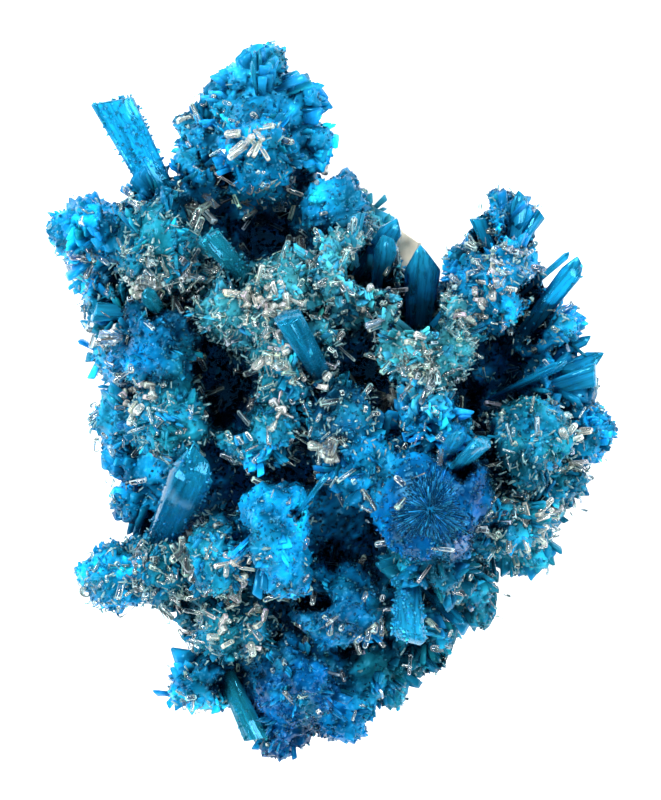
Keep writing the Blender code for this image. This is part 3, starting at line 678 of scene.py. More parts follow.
def club_ways(spray):
    """Returns the directions of a spray's clubs, spread evenly over its cap."""
    share = 1.0 - math.cos(math.radians(spray.spread))
    count = max(3, round(CLUBS * share))
    axis = unit(spray.toward)
    first = unit(np.cross(axis, (0.31, 0.87, 0.38)))
    second = np.cross(axis, first)
    ways = []
    for index in range(count):
        cosine = 1.0 - share * (index + 0.5) / count
        sine = math.sqrt(1.0 - cosine**2)
        turn = index * GOLDEN_TURN + 5.0 * spray.reach
        ways.append(cosine * axis + sine * (math.cos(turn) * first + math.sin(turn) * second))
    return np.array(ways)


def club_reach(spray, number):
    """Returns how far a club reaches, as a share of its spray's reach. A narrow spray comes to a point."""
    if spray.spread < NARROW:
        return 1.0 - TO_POINT * number
    return SHORTEST_CLUB + (1.0 - SHORTEST_CLUB) * (0.5 + 0.5 * math.cos(2.4 * number))


def pit_distance(points, x, y, width, height):
    """Returns how far points lie from the middle of a hollow with an uneven rim, from 0 to 1 at the rim."""
    first_wave = np.sin(3.1 * points[:, 0] + 2.3 * points[:, 1])
    second_wave = np.sin(2.7 * points[:, 1] - 1.9 * points[:, 0])
    uneven = 1.0 + RIM_WAVES * first_wave * second_wave
    return uneven * (((points[:, 0] - x) / width) ** 2 + ((points[:, 1] - y) / height) ** 2)


def pit_share(points):
    """Returns for each point how deep it lies in a hollow, from 0 outside to 1 in the middle."""
    share = np.zeros(len(points))
    for _, x, y, width, height, _ in PITS:
        share = np.maximum(share, 1.0 - pit_distance(points, x, y, width, height))
    return share


def sink_pits(corners):
    """Sinks the hollows into the mass."""
    for _, x, y, width, height, depth in PITS:
        away = pit_distance(corners, x, y, width, height)
        corners[:, 2] -= depth * np.clip(1.0 - away, 0.0, 1.0) * np.clip(corners[:, 2] / 8.0, 0.0, 1.0)
    return corners


def dome_height(away):
    """Returns how high the rosette's dome is at a distance from its middle."""
    return ROSETTE_TOP - ROSETTE_FALL * away**2


def raise_rosette(corners):
    """Smooths the front of the mass into the low dome that the rosette's fibres lie on."""
    away = np.linalg.norm(corners[:, :2] - ROSETTE, axis=1)
    share = np.clip((ROSETTE_REACH + 0.5 - away) / ROSETTE_RIM, 0.0, 1.0)
    share *= corners[:, 2] > ROSETTE_TOP - ROSETTE_DEPTH
    corners[:, 2] += share * (dome_height(away) - corners[:, 2])
    return corners


def on_rosette(points):
    """Returns for each point whether it lies on the bare middle of the rosette's dome."""
    away = np.linalg.norm(points[:, :2] - ROSETTE, axis=1)
    return (away < ROSETTE_BARE * ROSETTE_REACH) & (points[:, 2] > ROSETTE_TOP - 2.5)


def over_blades(points, above):
    """Returns the height each point must stay under to leave the large crystals in view."""
    ceiling = np.full(len(points), math.inf)
    for blade in BLADES:
        foot = np.array(blade.foot)
        run = np.array(blade.tip) - foot
        along = (points[:, :2] - foot[:2]) @ run[:2] / (run[:2] @ run[:2])
        nearest = foot[:2] + along[:, None] * run[:2]
        beside = np.linalg.norm(points[:, :2] - nearest, axis=1)
        covered = (beside < 0.5 * blade.width + BESIDE_BLADE) & (along > CLEAR_FROM) & (along < 1.02)
        height = foot[2] + along * run[2] + above
        ceiling = np.where(covered, np.minimum(ceiling, height), ceiling)
    return ceiling


def rough_mass(chance):
    """Returns the mass as balls that run into each other: its lumps, and its sprays with their clubs."""
    mesh = bmesh.new()
    for index, (centre, radius) in enumerate(LUMPS):
        rough_ball(mesh, centre, (radius, radius), (0.0, 0.0, 1.0), index)
    for index, spray in enumerate(SPRAYS):
        narrow = min(1.0, spray.spread / 55.0)
        radius = (CORE_SHARE - CORE_BLADED * spray.bladed) * spray.reach * narrow
        rough_ball(mesh, spray.centre, (radius, radius), spray.toward, 40 + index)
        add_root(mesh, spray, radius)
        for number, way in enumerate(club_ways(spray)):
            reach = spray.reach * club_reach(spray, number)
            middle = np.array(spray.centre) + 0.5 * reach * way
            length = CLUB_SHARE * reach
            width = CLUB_WIDTH * reach * chance.uniform(0.8, 1.3)
            rough_ball(mesh, middle, (length, width), way, 10 * index + number)
    return mesh


def read_rows(items, attribute):
    """Returns an attribute of three numbers of each item of a mesh, one row for each."""
    numbers = np.empty(len(items) * 3, np.float32)
    items.foreach_get(attribute, numbers)
    return numbers.reshape(-1, 3).astype(float)


def joined_surface(mesh):
    """Joins balls in one closed surface, and returns its corners, their normals and its triangles."""
    data = bpy.data.meshes.new("mass")
    mesh.to_mesh(data)
    mesh.free()
    rough = new_object("mass", data)
    remesh = rough.modifiers.new("join", "REMESH")
    remesh.mode = "VOXEL"
    remesh.voxel_size = BODY_CELL
    bpy.context.view_layer.update()
    joined = bpy.data.meshes.new_from_object(rough.evaluated_get(bpy.context.evaluated_depsgraph_get()))
    bpy.data.objects.remove(rough)
    joined.calc_loop_triangles()
    triangles = np.empty(len(joined.loop_triangles) * 3, np.int32)
    joined.loop_triangles.foreach_get("vertices", triangles)
    corners = read_rows(joined.vertices, "co")
    return corners, read_rows(joined.vertices, "normal"), triangles.reshape(-1, 3)


def mass_mesh(chance):
    """Returns the joined mass under the fine crystals as corners and triangles, in millimetres."""
    corners, normals, triangles = joined_surface(rough_mass(chance))
    moved = corners + normals * facets(corners, chance)[:, None]
    moved = raise_rosette(sink_pits(moved))
    moved[:, 2] = np.minimum(moved[:, 2], over_blades(moved, -UNDER_BLADE))
    moved[:, 2] = np.maximum(moved[:, 2], 0.0)
    return moved, triangles


def add_root(mesh, spray, radius):
    """Joins a spray to the mass with two balls on the way down."""
    x, y, z = spray.centre
    for share in (0.35, 0.7):
        middle = (x * (1.0 - 0.2 * share), y * (1.0 - 0.2 * share), z * (1.0 - 0.5 * share))
        rough_ball(mesh, middle, (0.8 * radius, 0.8 * radius), (0.0, 0.0, 1.0), 7 + share)


def facets(corners, chance):
    """Returns how far each corner stands out, so that the surface breaks into small flat facets."""
    count = int(len(corners) * BODY_CELL**2 / FACET_SIZE**2)
    chosen = chance.choice(len(corners), count, replace=False)
    seeds = KDTree(count)
    for number, index in enumerate(chosen):
        seeds.insert(corners[index], number)
    seeds.balance()
    owners = np.array([seeds.find(corner)[1] for corner in corners])
    tilts = chance.normal(0.0, FACET_TILT, (count, 3))
    steps = chance.normal(0.0, FACET_STEP, count)
    offsets = corners - corners[chosen][owners]
    heights = (offsets * tilts[owners]).sum(axis=1) + steps[owners]
    return np.clip(heights, -FACET_LIMIT, FACET_LIMIT)


class Surface:
    """A surface that crystals grow on, with each corner's colour and how thickly each triangle is covered."""

    def __init__(self, corners, triangles, colours, coat):
        self.corners = corners
        self.triangles = triangles
        self.colours = colours
        self.coat = coat

    def sample(self, per_square, chance):
        """Returns points, outward directions and colours on the surface, leaving out the cut."""
        a, b, c = (self.corners[self.triangles[:, index]] for index in range(3))
        normals = np.cross(b - a, c - a)
        doubled = np.linalg.norm(normals, axis=1) + 1e-12
        normals /= doubled[:, None]
        weight = doubled * self.coat * np.where(normals[:, 2] > DOWNWARD, 1.0, COVER_BELOW)
        weight[(a[:, 2] < CUT_HEIGHT) & (normals[:, 2] < -0.9)] = 0.0
        count = int(per_square * 0.5 * weight.sum())
        chosen = chance.choice(len(weight), count, p=weight / weight.sum())
        u, v = chance.uniform(size=(2, count))
        flip = u + v > 1.0
        u[flip], v[flip] = 1.0 - u[flip], 1.0 - v[flip]
        points = a[chosen] + u[:, None] * (b - a)[chosen] + v[:, None] * (c - a)[chosen]
        return points, normals[chosen], self.colours[self.triangles[chosen, 0]]


def openness(corners, triangles, tree):
    """Returns for each corner how much of the space outside it is open, from 0 to 1."""
    normals = np.zeros_like(corners)
    a, b, c = (corners[triangles[:, index]] for index in range(3))
    faces = np.cross(b - a, c - a)
    for index in range(3):
        np.add.at(normals, triangles[:, index], faces)
    normals /= np.linalg.norm(normals, axis=1, keepdims=True) + 1e-12
    ways = directions_round((0.0, 0.0, 1.0), 180.0, OPEN_RAYS, np.random.default_rng(3))
    free = np.zeros(len(corners))
    for number, (corner, normal) in enumerate(zip(corners, normals)):
        start = Vector(corner + OPEN_START * normal)
        for way in ways:
            ray = normal + OPEN_SPREAD * way
            hit = tree.ray_cast(start, Vector(ray).normalized(), OPEN_REACH)[0]
            free[number] += hit is None
    return free / OPEN_RAYS


def cloud(points, size, shift):
    """Returns slow noise at each point, from about -1 to 1."""
    places = [Vector(point) / size + Vector((shift, 0.0, 0.0)) for point in points]
    return np.array([noise.fractal(place, 1.0, 2.0, 2) for place in places])


def spray_gaps(points):
    """Returns how far each point is from each spray's centre, as a share of the spray's reach."""
    centres = np.array([spray.centre for spray in SPRAYS])
    reaches = np.array([spray.reach for spray in SPRAYS])
    return np.linalg.norm(points[:, None, :] - centres[None, :, :], axis=2) / reaches


def colour_at(points):
    """Returns the colour of the cluster at each point: its sprays' colours, clouded."""
    gaps = spray_gaps(points)
    weights = np.exp(-BLEND * (gaps - gaps.min(axis=1, keepdims=True)))
    weights /= weights.sum(axis=1, keepdims=True)
    colours = weights @ np.array([COLOURS[spray.colour] for spray in SPRAYS])
    hue = np.clip(CLOUD_HUE * cloud(points, CLOUD_SIZE, 20.0), -0.6, 0.6)[:, None]
    other = np.where(hue > 0.0, np.array(COLOURS["teal"]), np.array(COLOURS["royal"]))
    colours = colours * (1.0 - abs(hue)) + other * abs(hue)
    return np.clip(colours * np.exp(CLOUD_LIGHT * cloud(points, CLOUD_SIZE, 0.0))[:, None], 0.0, 0.9)


def spray_owners(points):
    """Returns the number of the spray that each point belongs to."""
    return spray_gaps(points).argmin(axis=1)


def frost_at(points):
    """Returns how frosted the spray is that each point belongs to."""
    return np.array([spray.frost for spray in SPRAYS])[spray_owners(points)]


def mass_colours(corners, free):
    """Returns the colour of the mass at each corner: its spray's colour, with painted shade in the pits."""
    colours = colour_at(corners)
    # Painted shade: the less open a corner, the nearer its colour to the painted pit shade
    light = np.clip((free - FULL_SHADE_OPENNESS) / (NO_SHADE_OPENNESS - FULL_SHADE_OPENNESS), 0.0, 1.0)[:, None]
    return np.array(PAINTED_PIT_SHADE) * (1.0 - light) + colours * light


def cap_area(spray, spread):
    """Returns the area of the outside of a spray."""
    return math.tau * (0.9 * spray.reach) ** 2 * (1.0 - math.cos(math.radians(spread)))


def grow_blades(growth, chance):
    """Sets bundles of side by side blades round each club of each spray."""
    for spray in SPRAYS:
        ways = club_ways(spray)
        width = FINE_WIDTH + WIDER * spray.bladed
        share = min(1.0, spray.bladed / 0.3)
        bundles = int(share * BUNDLES * cap_area(spray, spray.spread) * 0.5 / width)
        for number in range(bundles):
            club = number % len(ways)
            way = unit(ways[club] + chance.normal(0.0, 0.28, 3))
            add_bundle(growth, spray, way, width * chance.uniform(0.7, 1.3), club_reach(spray, club), chance)


def add_bundle(growth, spray, way, width, share, chance):
    """Adds one bundle of blades that share their direction and their broad side."""
    count = IN_BUNDLE
    start = BUNDLE_START * spray.reach
    facing = np.array([0.0, 0.0, FACING * spray.bladed])
    across = unit(np.cross(way, chance.normal(0.0, 0.7, 3) + facing))
    broad = np.cross(across, way)
    shifts = chance.normal(0.0, 0.55 * width, count)
    depths = chance.normal(0.0, 0.25 * width, count)
    feet = np.array(spray.centre) + start * way + shifts[:, None] * across + depths[:, None] * broad
    top = spray.reach * min(1.0, share * chance.uniform(0.9, 1.15))
    lengths = (top - start) * chance.uniform(0.75, 1.0, count)
    widths = width * chance.uniform(0.7, 1.3, count)
    axes = way + chance.normal(0.0, 0.16, 3) + chance.normal(0.0, 0.05, (count, 3))
    pale = 0.8 * colour_at(np.array([spray.centre]) + top * way) + 0.2 * np.array(COLOURS["cyan"])
    tints = varied(same(pale[0], count) * chance.lognormal(0.0, 0.2), chance, 0.15)
    sides = np.tile(broad, (count, 1))
    flatness = chance.uniform(0.25, 0.45, count)
    # The blades get painted shade at their feet and painted light at their tips
    growth.add(feet, axes, lengths, widths, flatness, tints, chance, sides, PAINTED_FOOT_SHADE)


def scatter(growth, kind, points, normals, axes, colours, chance, lift=0.0):
    """Adds crystals of one kind at points of a surface, raised by up to the lift."""
    count = len(points)
    lengths = chance.uniform(*kind.lengths, count)
    widths = chance.uniform(*kind.widths, count)
    feet = points - kind.sunk * normals
    if lift > 0.0:
        feet += normals * chance.uniform(0.0, lift, (count, 1))
    flatness = chance.uniform(*kind.flatness, count)
    tints = varied(colours, chance, kind.variety)
    growth.add(feet, axes, lengths, widths, flatness, tints, chance)


def grow_druse(growth, surface, per_square, chance):
    """Covers a surface with short splinters."""
    points, normals, colours = surface.sample(per_square, chance)
    axes = normals + chance.normal(0.0, 0.6, (len(points), 3))
    scatter(growth, DRUSE, points, normals, axes, DRUSE_LIGHT * colours, chance)


def grow_skirt(growth, surface, chance):
    """Sets short blades round the low sides of the mass, above the cut."""
    points, normals, colours = surface.sample(SKIRT, chance)
    chosen = (points[:, 2] < SKIRT_TOP) & (points[:, 2] > SKIRT_LOW) & (abs(normals[:, 2]) < 0.8)
    points, normals, colours = points[chosen], normals[chosen], colours[chosen]
    count = len(points)
    axes = normals + chance.normal(0.0, 0.35, (count, 3)) + (0.0, 0.0, 0.25)
    lengths = chance.uniform(*SKIRT_BLADE.lengths, count)
    widths = chance.uniform(*SKIRT_BLADE.widths, count)
    feet = points - SKIRT_BLADE.sunk * normals
    tints = varied(1.2 * colours, chance, SKIRT_BLADE.variety)
    flatness = chance.uniform(*SKIRT_BLADE.flatness, count)
    # The skirt's blades get painted shade at their feet and painted light at their tips
    growth.add(feet, axes, lengths, widths, flatness, tints, chance, None, PAINTED_FOOT_SHADE)


def grow_frost(growth, surface, per_square, chance):
    """Sprinkles the frosted sprays with the tiniest clear crystals."""
    points, normals, _ = surface.sample(per_square, chance)
    chosen = chance.uniform(size=len(points)) < 1.3 * frost_at(points) - 0.1
    points, normals = points[chosen], normals[chosen]
    colours = same(FROST, len(points))
    scatter(growth, FROST_ROD, points, normals, leaning(normals, chance), colours, chance, FROST_LIFT)


def grow_grains(growth, surface, per_square, chance):
    """Sprinkles a surface with pale grains, their paleness partly a painted sparkle of highlights."""
    points, normals, colours = surface.sample(per_square, chance)
    count = len(points)
    axes = normals + chance.normal(0.0, 0.8, (count, 3))
    sizes = chance.uniform(0.1, 0.22, count)
    # Paler grains, whose paleness is partly a painted sparkle of highlights
    pale = 0.75 * colours + np.array(GRAIN_PALE_SPARKLE)
    feet = points - 0.02 * normals
    growth.add(feet, axes, 1.3 * sizes, sizes, np.full(count, 0.8), varied(pale, chance, 0.4), chance)


def grow_rosette(growth, chance):
    """Lays fine fibres round the middle of the rosette, like the spokes of a wheel."""
    turn = chance.uniform(0.0, math.tau, FIBRES)
    ways = np.stack([np.cos(turn), np.sin(turn)], axis=1)
    starts = chance.uniform(*FIBRE_STARTS, FIBRES)
    reach = ROSETTE_REACH * (0.8 + 0.25 * np.sin(3.0 * turn + 3.6)) * chance.uniform(0.6, 1.1, FIBRES)
    ends = np.minimum(starts + chance.uniform(*FIBRE_LENGTHS, FIBRES), reach)
    ends = np.maximum(ends, starts + 0.5 * FIBRE_LENGTHS[0])
    lift = chance.uniform(-0.03, 0.03, FIBRES)
    feet = np.column_stack([ROSETTE + ways * starts[:, None], dome_height(starts) + lift])
    tips = np.column_stack([ROSETTE + ways * ends[:, None], dome_height(ends) + lift + 0.1])
    axes = tips - feet
    lengths = np.linalg.norm(axes, axis=1)
    widths = chance.uniform(*FIBRE_WIDTHS, FIBRES)
    tints = same(DARK_FIBRE, FIBRES)
    tints[chance.uniform(size=FIBRES) < PALE_FIBRES] = PALE_FIBRE
    tints = varied(tints, chance, 0.4)
    # The fibres get painted shade at their feet and painted light at their tips
    growth.add(feet, axes, lengths, widths, np.full(FIBRES, 0.8), tints, chance, None, PAINTED_FOOT_SHADE)


def leaning(ways, chance):
    """Returns directions that lie mostly along the surface and lean a little out of it."""
    flat = chance.normal(0.0, 1.0, (len(ways), 3))
    flat -= (flat * ways).sum(axis=1, keepdims=True) * ways
    return unit_rows(flat) + ways * chance.uniform(0.05, 0.9, (len(ways), 1))


def seated(feet, tree, limit):
    """Returns the feet, with those further than the limit from the mass moved onto it."""
    places = []
    for foot in feet:
        nearest, _, _, away = tree.find_nearest(Vector(foot))
        places.append(nearest[:] if away > limit else tuple(foot))
    return np.array(places)


def grow_zeolites(growth, tree, chance):
    """Sets clear crystals on each spray, many where it is frosted."""
    for spray in SPRAYS:
        spread = spray.spread + 8.0
        count = int((0.05 + 1.7 * spray.frost) * cap_area(spray, spread))
        ways = directions_round(spray.toward, spread, count, chance)
        feet = np.array(spray.centre) + ways * spray.reach * chance.uniform(0.66, 0.92, count)[:, None]
        feet = seated(feet, tree, SEAT + SEAT_BLADED * spray.bladed)
        axes = leaning(ways, chance)
        lengths = np.clip(chance.lognormal(-0.85, 0.42, count), 0.2, 1.2)
        widths = np.clip(chance.lognormal(-1.65, 0.28, count), 0.1, 0.36)
        flatness = chance.uniform(0.35, 0.55, count)
        tints = varied(same(WORN, count), chance, 0.35)
        growth.add(feet, axes, lengths, widths, flatness, tints, chance)


def grow_cavity_zeolites(growth, surface, chance):
    """Sets single clear crystals all over, on the walls of the cavities too."""
    points, normals, _ = surface.sample(SINGLES_ON_MASS, chance)
    chosen = chance.uniform(size=len(points)) < 0.2 + frost_at(points)
    points, normals = points[chosen], normals[chosen]
    colours = same(WORN, len(points))
    scatter(growth, SINGLE_ROD, points, normals, leaning(normals, chance), colours, chance)


def grow_tufts(clear, milky, tree, chance):
    """Sets the tufts of larger zeolite crystals that stand out on the front."""
    for tuft in TUFTS:
        turn = chance.uniform(0.0, math.tau, tuft.count)
        away = tuft.radius * np.sqrt(chance.uniform(0.0, 1.0, tuft.count))
        xs = tuft.x + away * np.cos(turn)
        ys = tuft.y + away * np.sin(turn)
        hits = [tree.ray_cast(Vector((x, y, 60.0)), Vector((0.0, 0.0, -1.0)))[0] for x, y in zip(xs, ys)]
        feet = np.array([hit[:] for hit in hits if hit is not None])
        if len(feet) == 0:
            continue
        raised = np.maximum(feet[:, 2], np.percentile(feet[:, 2], 40))
        feet[:, 2] = np.minimum(raised, feet[:, 2] + TUFT_LIFT) - 0.1
        count = len(feet)
        middle = np.array([tuft.x, tuft.y, feet[:, 2].mean() - 1.2 * tuft.radius])
        axes = leaning(unit_rows(feet - middle), chance)
        lengths = tuft.length * chance.uniform(0.6, 1.2, count)
        widths = tuft.width * chance.uniform(0.75, 1.25, count)
        growth = milky if tuft.milky else clear
        colours = same(MILK if tuft.milky else WORN, count)
        flatness = chance.uniform(0.5, 0.8, count)
        growth.add(feet, axes, lengths, widths, flatness, varied(colours, chance, 0.2), chance)


def add_tint(mesh, colours):
    """Gives each corner of a mesh its colour."""
    tint = mesh.attributes.new("tint", "FLOAT_COLOR", "POINT")
    rows = np.concatenate([colours, np.ones((len(colours), 1))], axis=1)
    tint.data.foreach_set("color", rows.astype(np.float32).ravel())


def mesh_of(name, places, loops, starts):
    """Returns a mesh from arrays of corners and faces."""
    mesh = bpy.data.meshes.new(name)
    mesh.vertices.add(len(places))
    mesh.vertices.foreach_set("co", (places * MM).astype(np.float32).ravel())
    mesh.loops.add(len(loops))
    mesh.loops.foreach_set("vertex_index", loops.astype(np.int32))
    mesh.polygons.add(len(starts))
    mesh.polygons.foreach_set("loop_start", starts.astype(np.int32))
    mesh.update(calc_edges=True)
    mesh.validate()
    return mesh


def joined_crystals(name, shape, places, tints):
    """Returns one mesh of many crystals of one shape."""
    count, corners = places.shape[:2]
    loops = np.concatenate([np.array(face) for face in shape.faces])
    sizes = np.array([len(face) for face in shape.faces])
    starts = np.concatenate([[0], np.cumsum(sizes)[:-1]])
    steps = np.arange(count)[:, None]
    all_loops = (loops[None, :] + corners * steps).ravel()
    all_starts = (starts[None, :] + len(loops) * steps).ravel()
    mesh = mesh_of(name, places.reshape(-1, 3), all_loops, all_starts)
    add_tint(mesh, tints.reshape(-1, 3))
    worn = np.zeros(len(shape.faces), np.float32)
    worn[shape.worn] = 1.0
    mesh.attributes.new("worn", "FLOAT", "FACE").data.foreach_set("value", np.tile(worn, count))
    return mesh


def dress(piece, material):
    """Gives a piece its material and fixes it to the cluster."""
    piece.data.materials.append(material)
    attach(piece, "root")


def settle(growth, names, material, box, everywhere=False):
    """Joins a growth in as many pieces as it has names, from the top down.

    Crystals past the box, over the large crystals and, unless they grow everywhere, in the hollows and on
    the rosette are left out.
    """
    places, tints = growth.crystals()
    low, high = box
    middles = places.mean(axis=1)
    kept = ((places > low) & (places < high)).all(axis=(1, 2))
    kept &= places[:, :, 2].max(axis=1) < over_blades(middles, ABOVE_BLADE)
    if not everywhere:
        kept &= (pit_share(middles) < OPEN_PIT) & ~on_rosette(middles)
    places, tints = places[kept], tints[kept]
    order = np.argsort(-places[:, :, 1].mean(axis=1), kind="stable")
    for name, chosen in zip(names, np.array_split(order, len(names))):
        mesh = joined_crystals(name, growth.shape, places[chosen], tints[chosen])
        dress(new_object(name, mesh), material)


def set_inputs(node, values):
    """Sets a node's inputs by their names."""
    for name, value in values.items():
        node.inputs[name].default_value = value


class Looks:
    """A material that is being made: its nodes, its links and its main shader."""

    def __init__(self, name):
        self.material = bpy.data.materials.new(name)
        self.material.use_nodes = True
        self.nodes = self.material.node_tree.nodes
        self.link = self.material.node_tree.links.new
        self.shader = self.nodes["Principled BSDF"]

    def add(self, kind, values):
        """Returns a new node with its inputs set."""
        node = self.nodes.new(kind)
        set_inputs(node, values)
        return node

    def attribute(self, name):
        """Returns a node that reads values which the mesh brings with it."""
        node = self.nodes.new("ShaderNodeAttribute")
        node.attribute_name = name
        return node

    def noise(self, scale, detail):
        """Returns noise over the surface, measured on the object itself."""
        texture = self.add("ShaderNodeTexNoise", {"Scale": scale, "Detail": detail})
        self.link(self.nodes.new("ShaderNodeTexCoord").outputs["Object"], texture.inputs["Vector"])
        return texture

    def absorb(self, density):
        """Fills the inside with colour that deepens with its thickness."""
        volume = self.add("ShaderNodeVolumeAbsorption", {"Color": (*ABSORBED, 1.0), "Density": density})
        self.link(volume.outputs["Volume"], self.nodes["Material Output"].inputs["Volume"])

    def roughen(self, texture, strength, distance):
        """Roughens the surface with the noise."""
        bump = self.add("ShaderNodeBump", {"Strength": strength, "Distance": distance})
        self.link(texture.outputs["Fac"], bump.inputs["Height"])
        self.link(bump.outputs["Normal"], self.shader.inputs["Normal"])

    def colour(self, texture, colour, low, high):
        """Gives the surface a colour that is darker and lighter with the noise."""
        limits = {"From Min": 0.3, "From Max": 0.7, "To Min": low, "To Max": high}
        spread = self.add("ShaderNodeMapRange", limits)
        self.link(texture.outputs["Fac"], spread.inputs["Value"])
        scale = self.nodes.new("ShaderNodeVectorMath")
        scale.operation = "SCALE"
        self.link(colour, scale.inputs[0])
        self.link(spread.outputs["Result"], scale.inputs["Scale"])
        self.link(scale.outputs["Vector"], self.shader.inputs["Base Color"])


def blue_material(name, roughness, clearness, noise_scale, density, bump_strength):
    """Blue crystal: its own colour on the surface, clear inside, and darker the thicker it is."""
    looks = Looks(name)
    tint = looks.attribute("tint").outputs["Color"]
    looks.colour(looks.noise(noise_scale, 4.0), tint, low=0.7, high=1.35)
    set_inputs(looks.shader, {"Roughness": roughness, "IOR": 1.5, "Transmission Weight": clearness})
    set_inputs(looks.shader, {"Specular IOR Level": 0.2, "Specular Tint": (*SHEEN_TINT, 1.0)})
    if density > 0.0:
        looks.absorb(density)
    looks.roughen(looks.noise(3.0 * noise_scale, 3.0), bump_strength, 0.00008)
    return looks.material


def large_material():
    """The large blue crystals: see-through, bluer the thicker they are, with fine grooves along them."""
    looks = Looks("pentagonite_blade")
    grooves = looks.add("ShaderNodeTexNoise", {"Scale": GROOVES, "Detail": 3.0})
    looks.link(looks.attribute("grooves").outputs["Vector"], grooves.inputs["Vector"])
    looks.colour(grooves, looks.attribute("tint").outputs["Color"], low=0.45, high=1.5)
    set_inputs(looks.shader, {"Roughness": 0.05, "IOR": 1.58, "Transmission Weight": 0.62})
    set_inputs(looks.shader, {"Specular Tint": (*SHEEN_TINT, 1.0)})
    looks.absorb(900.0)
    looks.roughen(grooves, 0.5, 0.00006)
    return looks.material


def zeolite_material(name, colour, roughness, clearness):
    """Clear or milky zeolite, with edges that are frosted."""
    looks = Looks(name)
    worn = looks.attribute("worn").outputs["Fac"]
    mix = looks.nodes.new("ShaderNodeMix")
    mix.data_type = "RGBA"
    mix.inputs[6].default_value = (*colour, 1.0)
    looks.link(worn, mix.inputs[0])
    looks.link(looks.attribute("tint").outputs["Color"], mix.inputs[7])
    looks.colour(looks.noise(2200.0, 3.0), mix.outputs[2], low=0.94, high=1.04)
    clear = looks.add("ShaderNodeMapRange", {"To Min": clearness, "To Max": WORN_CLEARNESS})
    looks.link(worn, clear.inputs["Value"])
    looks.link(clear.outputs["Result"], looks.shader.inputs["Transmission Weight"])
    set_inputs(looks.shader, {"Roughness": roughness, "IOR": 1.5})
    return looks.material


def tan_material():
    """The tan stilbite crystal."""
    looks = Looks("stilbite")
    tan = looks.nodes.new("ShaderNodeRGB")
    tan.outputs[0].default_value = (*TAN, 1.0)
    looks.colour(looks.noise(900.0, 4.0), tan.outputs[0], low=0.75, high=1.2)
    set_inputs(looks.shader, {"Roughness": 0.35, "Transmission Weight": 0.2})
    return looks.material


def dress_nodes(nodes, clear):
    """Gives each perched crystal's solid its material."""
    tan = tan_material()
    for name, node in nodes.items():
        node.data.materials.clear()
        node.data.materials.append(tan if name == "stilbite_crystal" else clear)


def make_floor():
    """A plain pale floor under the cluster."""
    half = FLOOR_HALF
    mesh = bpy.data.meshes.new("floor")
    corners = [(-half, -half, 0.0), (half, -half, 0.0), (half, half, 0.0), (-half, half, 0.0)]
    mesh.from_pydata(corners, [], [(0, 1, 2, 3)])
    floor = new_object("floor", mesh)
    looks = Looks("floor")
    set_inputs(looks.shader, {"Base Color": (0.93, 0.93, 0.93, 1.0), "Roughness": 0.9})
    set_inputs(looks.shader, {"Emission Color": (1.0, 1.0, 1.0, 1.0), "Emission Strength": FLOOR_GLOW})
    mesh.materials.append(looks.material)


def add_softbox(name, place, size, power):
    """Adds one soft lamp that faces the cluster."""
    lamp = bpy.data.lights.new(name, "AREA")
    lamp.shape = "SQUARE"
    lamp.size = size
    lamp.energy = power
    made = bpy.data.objects.new(name, lamp)
    made.location = place
    made.rotation_euler = (-Vector(place)).to_track_quat("-Z", "Y").to_euler()
    bpy.context.scene.collection.objects.link(made)


def make_light():
    """A pale room that is dimmer overhead, and four soft lamps round the cluster."""
    world = bpy.data.worlds.new("studio")
    world.use_nodes = True
    nodes = world.node_tree.nodes
    links = world.node_tree.links
    way = nodes.new("ShaderNodeTexCoord")
    parts = nodes.new("ShaderNodeSeparateXYZ")
    links.new(way.outputs["Generated"], parts.inputs[0])
    fall = nodes.new("ShaderNodeMapRange")
    fall.interpolation_type = "SMOOTHSTEP"
    set_inputs(fall, {"From Min": 0.45, "From Max": 0.85, "To Min": HORIZON, "To Max": ZENITH})
    links.new(parts.outputs["Z"], fall.inputs["Value"])
    links.new(fall.outputs["Result"], nodes["Background"].inputs["Strength"])
    bpy.context.scene.world = world
    for name, place, size, power in LAMPS:
        add_softbox(name, place, size, power)


def make_camera():
    """The camera looks straight down on the front of the cluster."""
    height = 0.5 * PHOTO_HEIGHT * PIXEL * CAMERA_LENS / (0.5 * CAMERA_SENSOR)
    data = bpy.data.cameras.new("camera")
    data.lens = CAMERA_LENS
    data.sensor_width = CAMERA_SENSOR
    data.sensor_fit = "AUTO"
    data.clip_start = 0.01
    data.clip_end = 10.0
    camera = bpy.data.objects.new("camera", data)
    camera.location = (0.0, 0.0, (SHARP_HEIGHT + height) * MM)
    bpy.context.scene.collection.objects.link(camera)
    bpy.context.scene.camera = camera


def make_mass(material, chance):
    """Makes the mass that all else grows on, and returns its surface and the tree of its faces."""
    corners, triangles = mass_mesh(chance)
    tree = BVHTree.FromPolygons(corners.tolist(), triangles.tolist())
    # Painted shade in the recesses, from how open the surface is
    colours = mass_colours(corners, openness(corners, triangles, tree))
    mesh = mesh_of("pentagonite_mass", corners, triangles.ravel(), 3 * np.arange(len(triangles)))
    add_tint(mesh, colours)
    mass = new_object("pentagonite_mass", mesh)
    dress(mass, material)
    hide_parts("pentagonite_cluster")
    bladed = np.array([spray.bladed for spray in SPRAYS])[spray_owners(corners[triangles[:, 0]])]
    # The mass colours, painted pit shade and all, pass on to the crystals that grow on it
    return Surface(corners, triangles, colours, 1.0 - 0.5 * np.minimum(1.0, 1.5 * bladed)), tree


def blade_colours(blade, places):
    """Returns a large crystal's colour at each corner, lighter towards the tip."""
    foot = np.array(blade.foot)
    run = np.array(blade.tip) - foot
    along = np.clip((places - foot) @ run / (run @ run), 0.0, 1.0)[:, None]
    own = np.array(COLOURS[blade.colour])
    return own * (1.0 - PALE_SHARE * along) + np.array(PALE_TIP) * PALE_SHARE * along


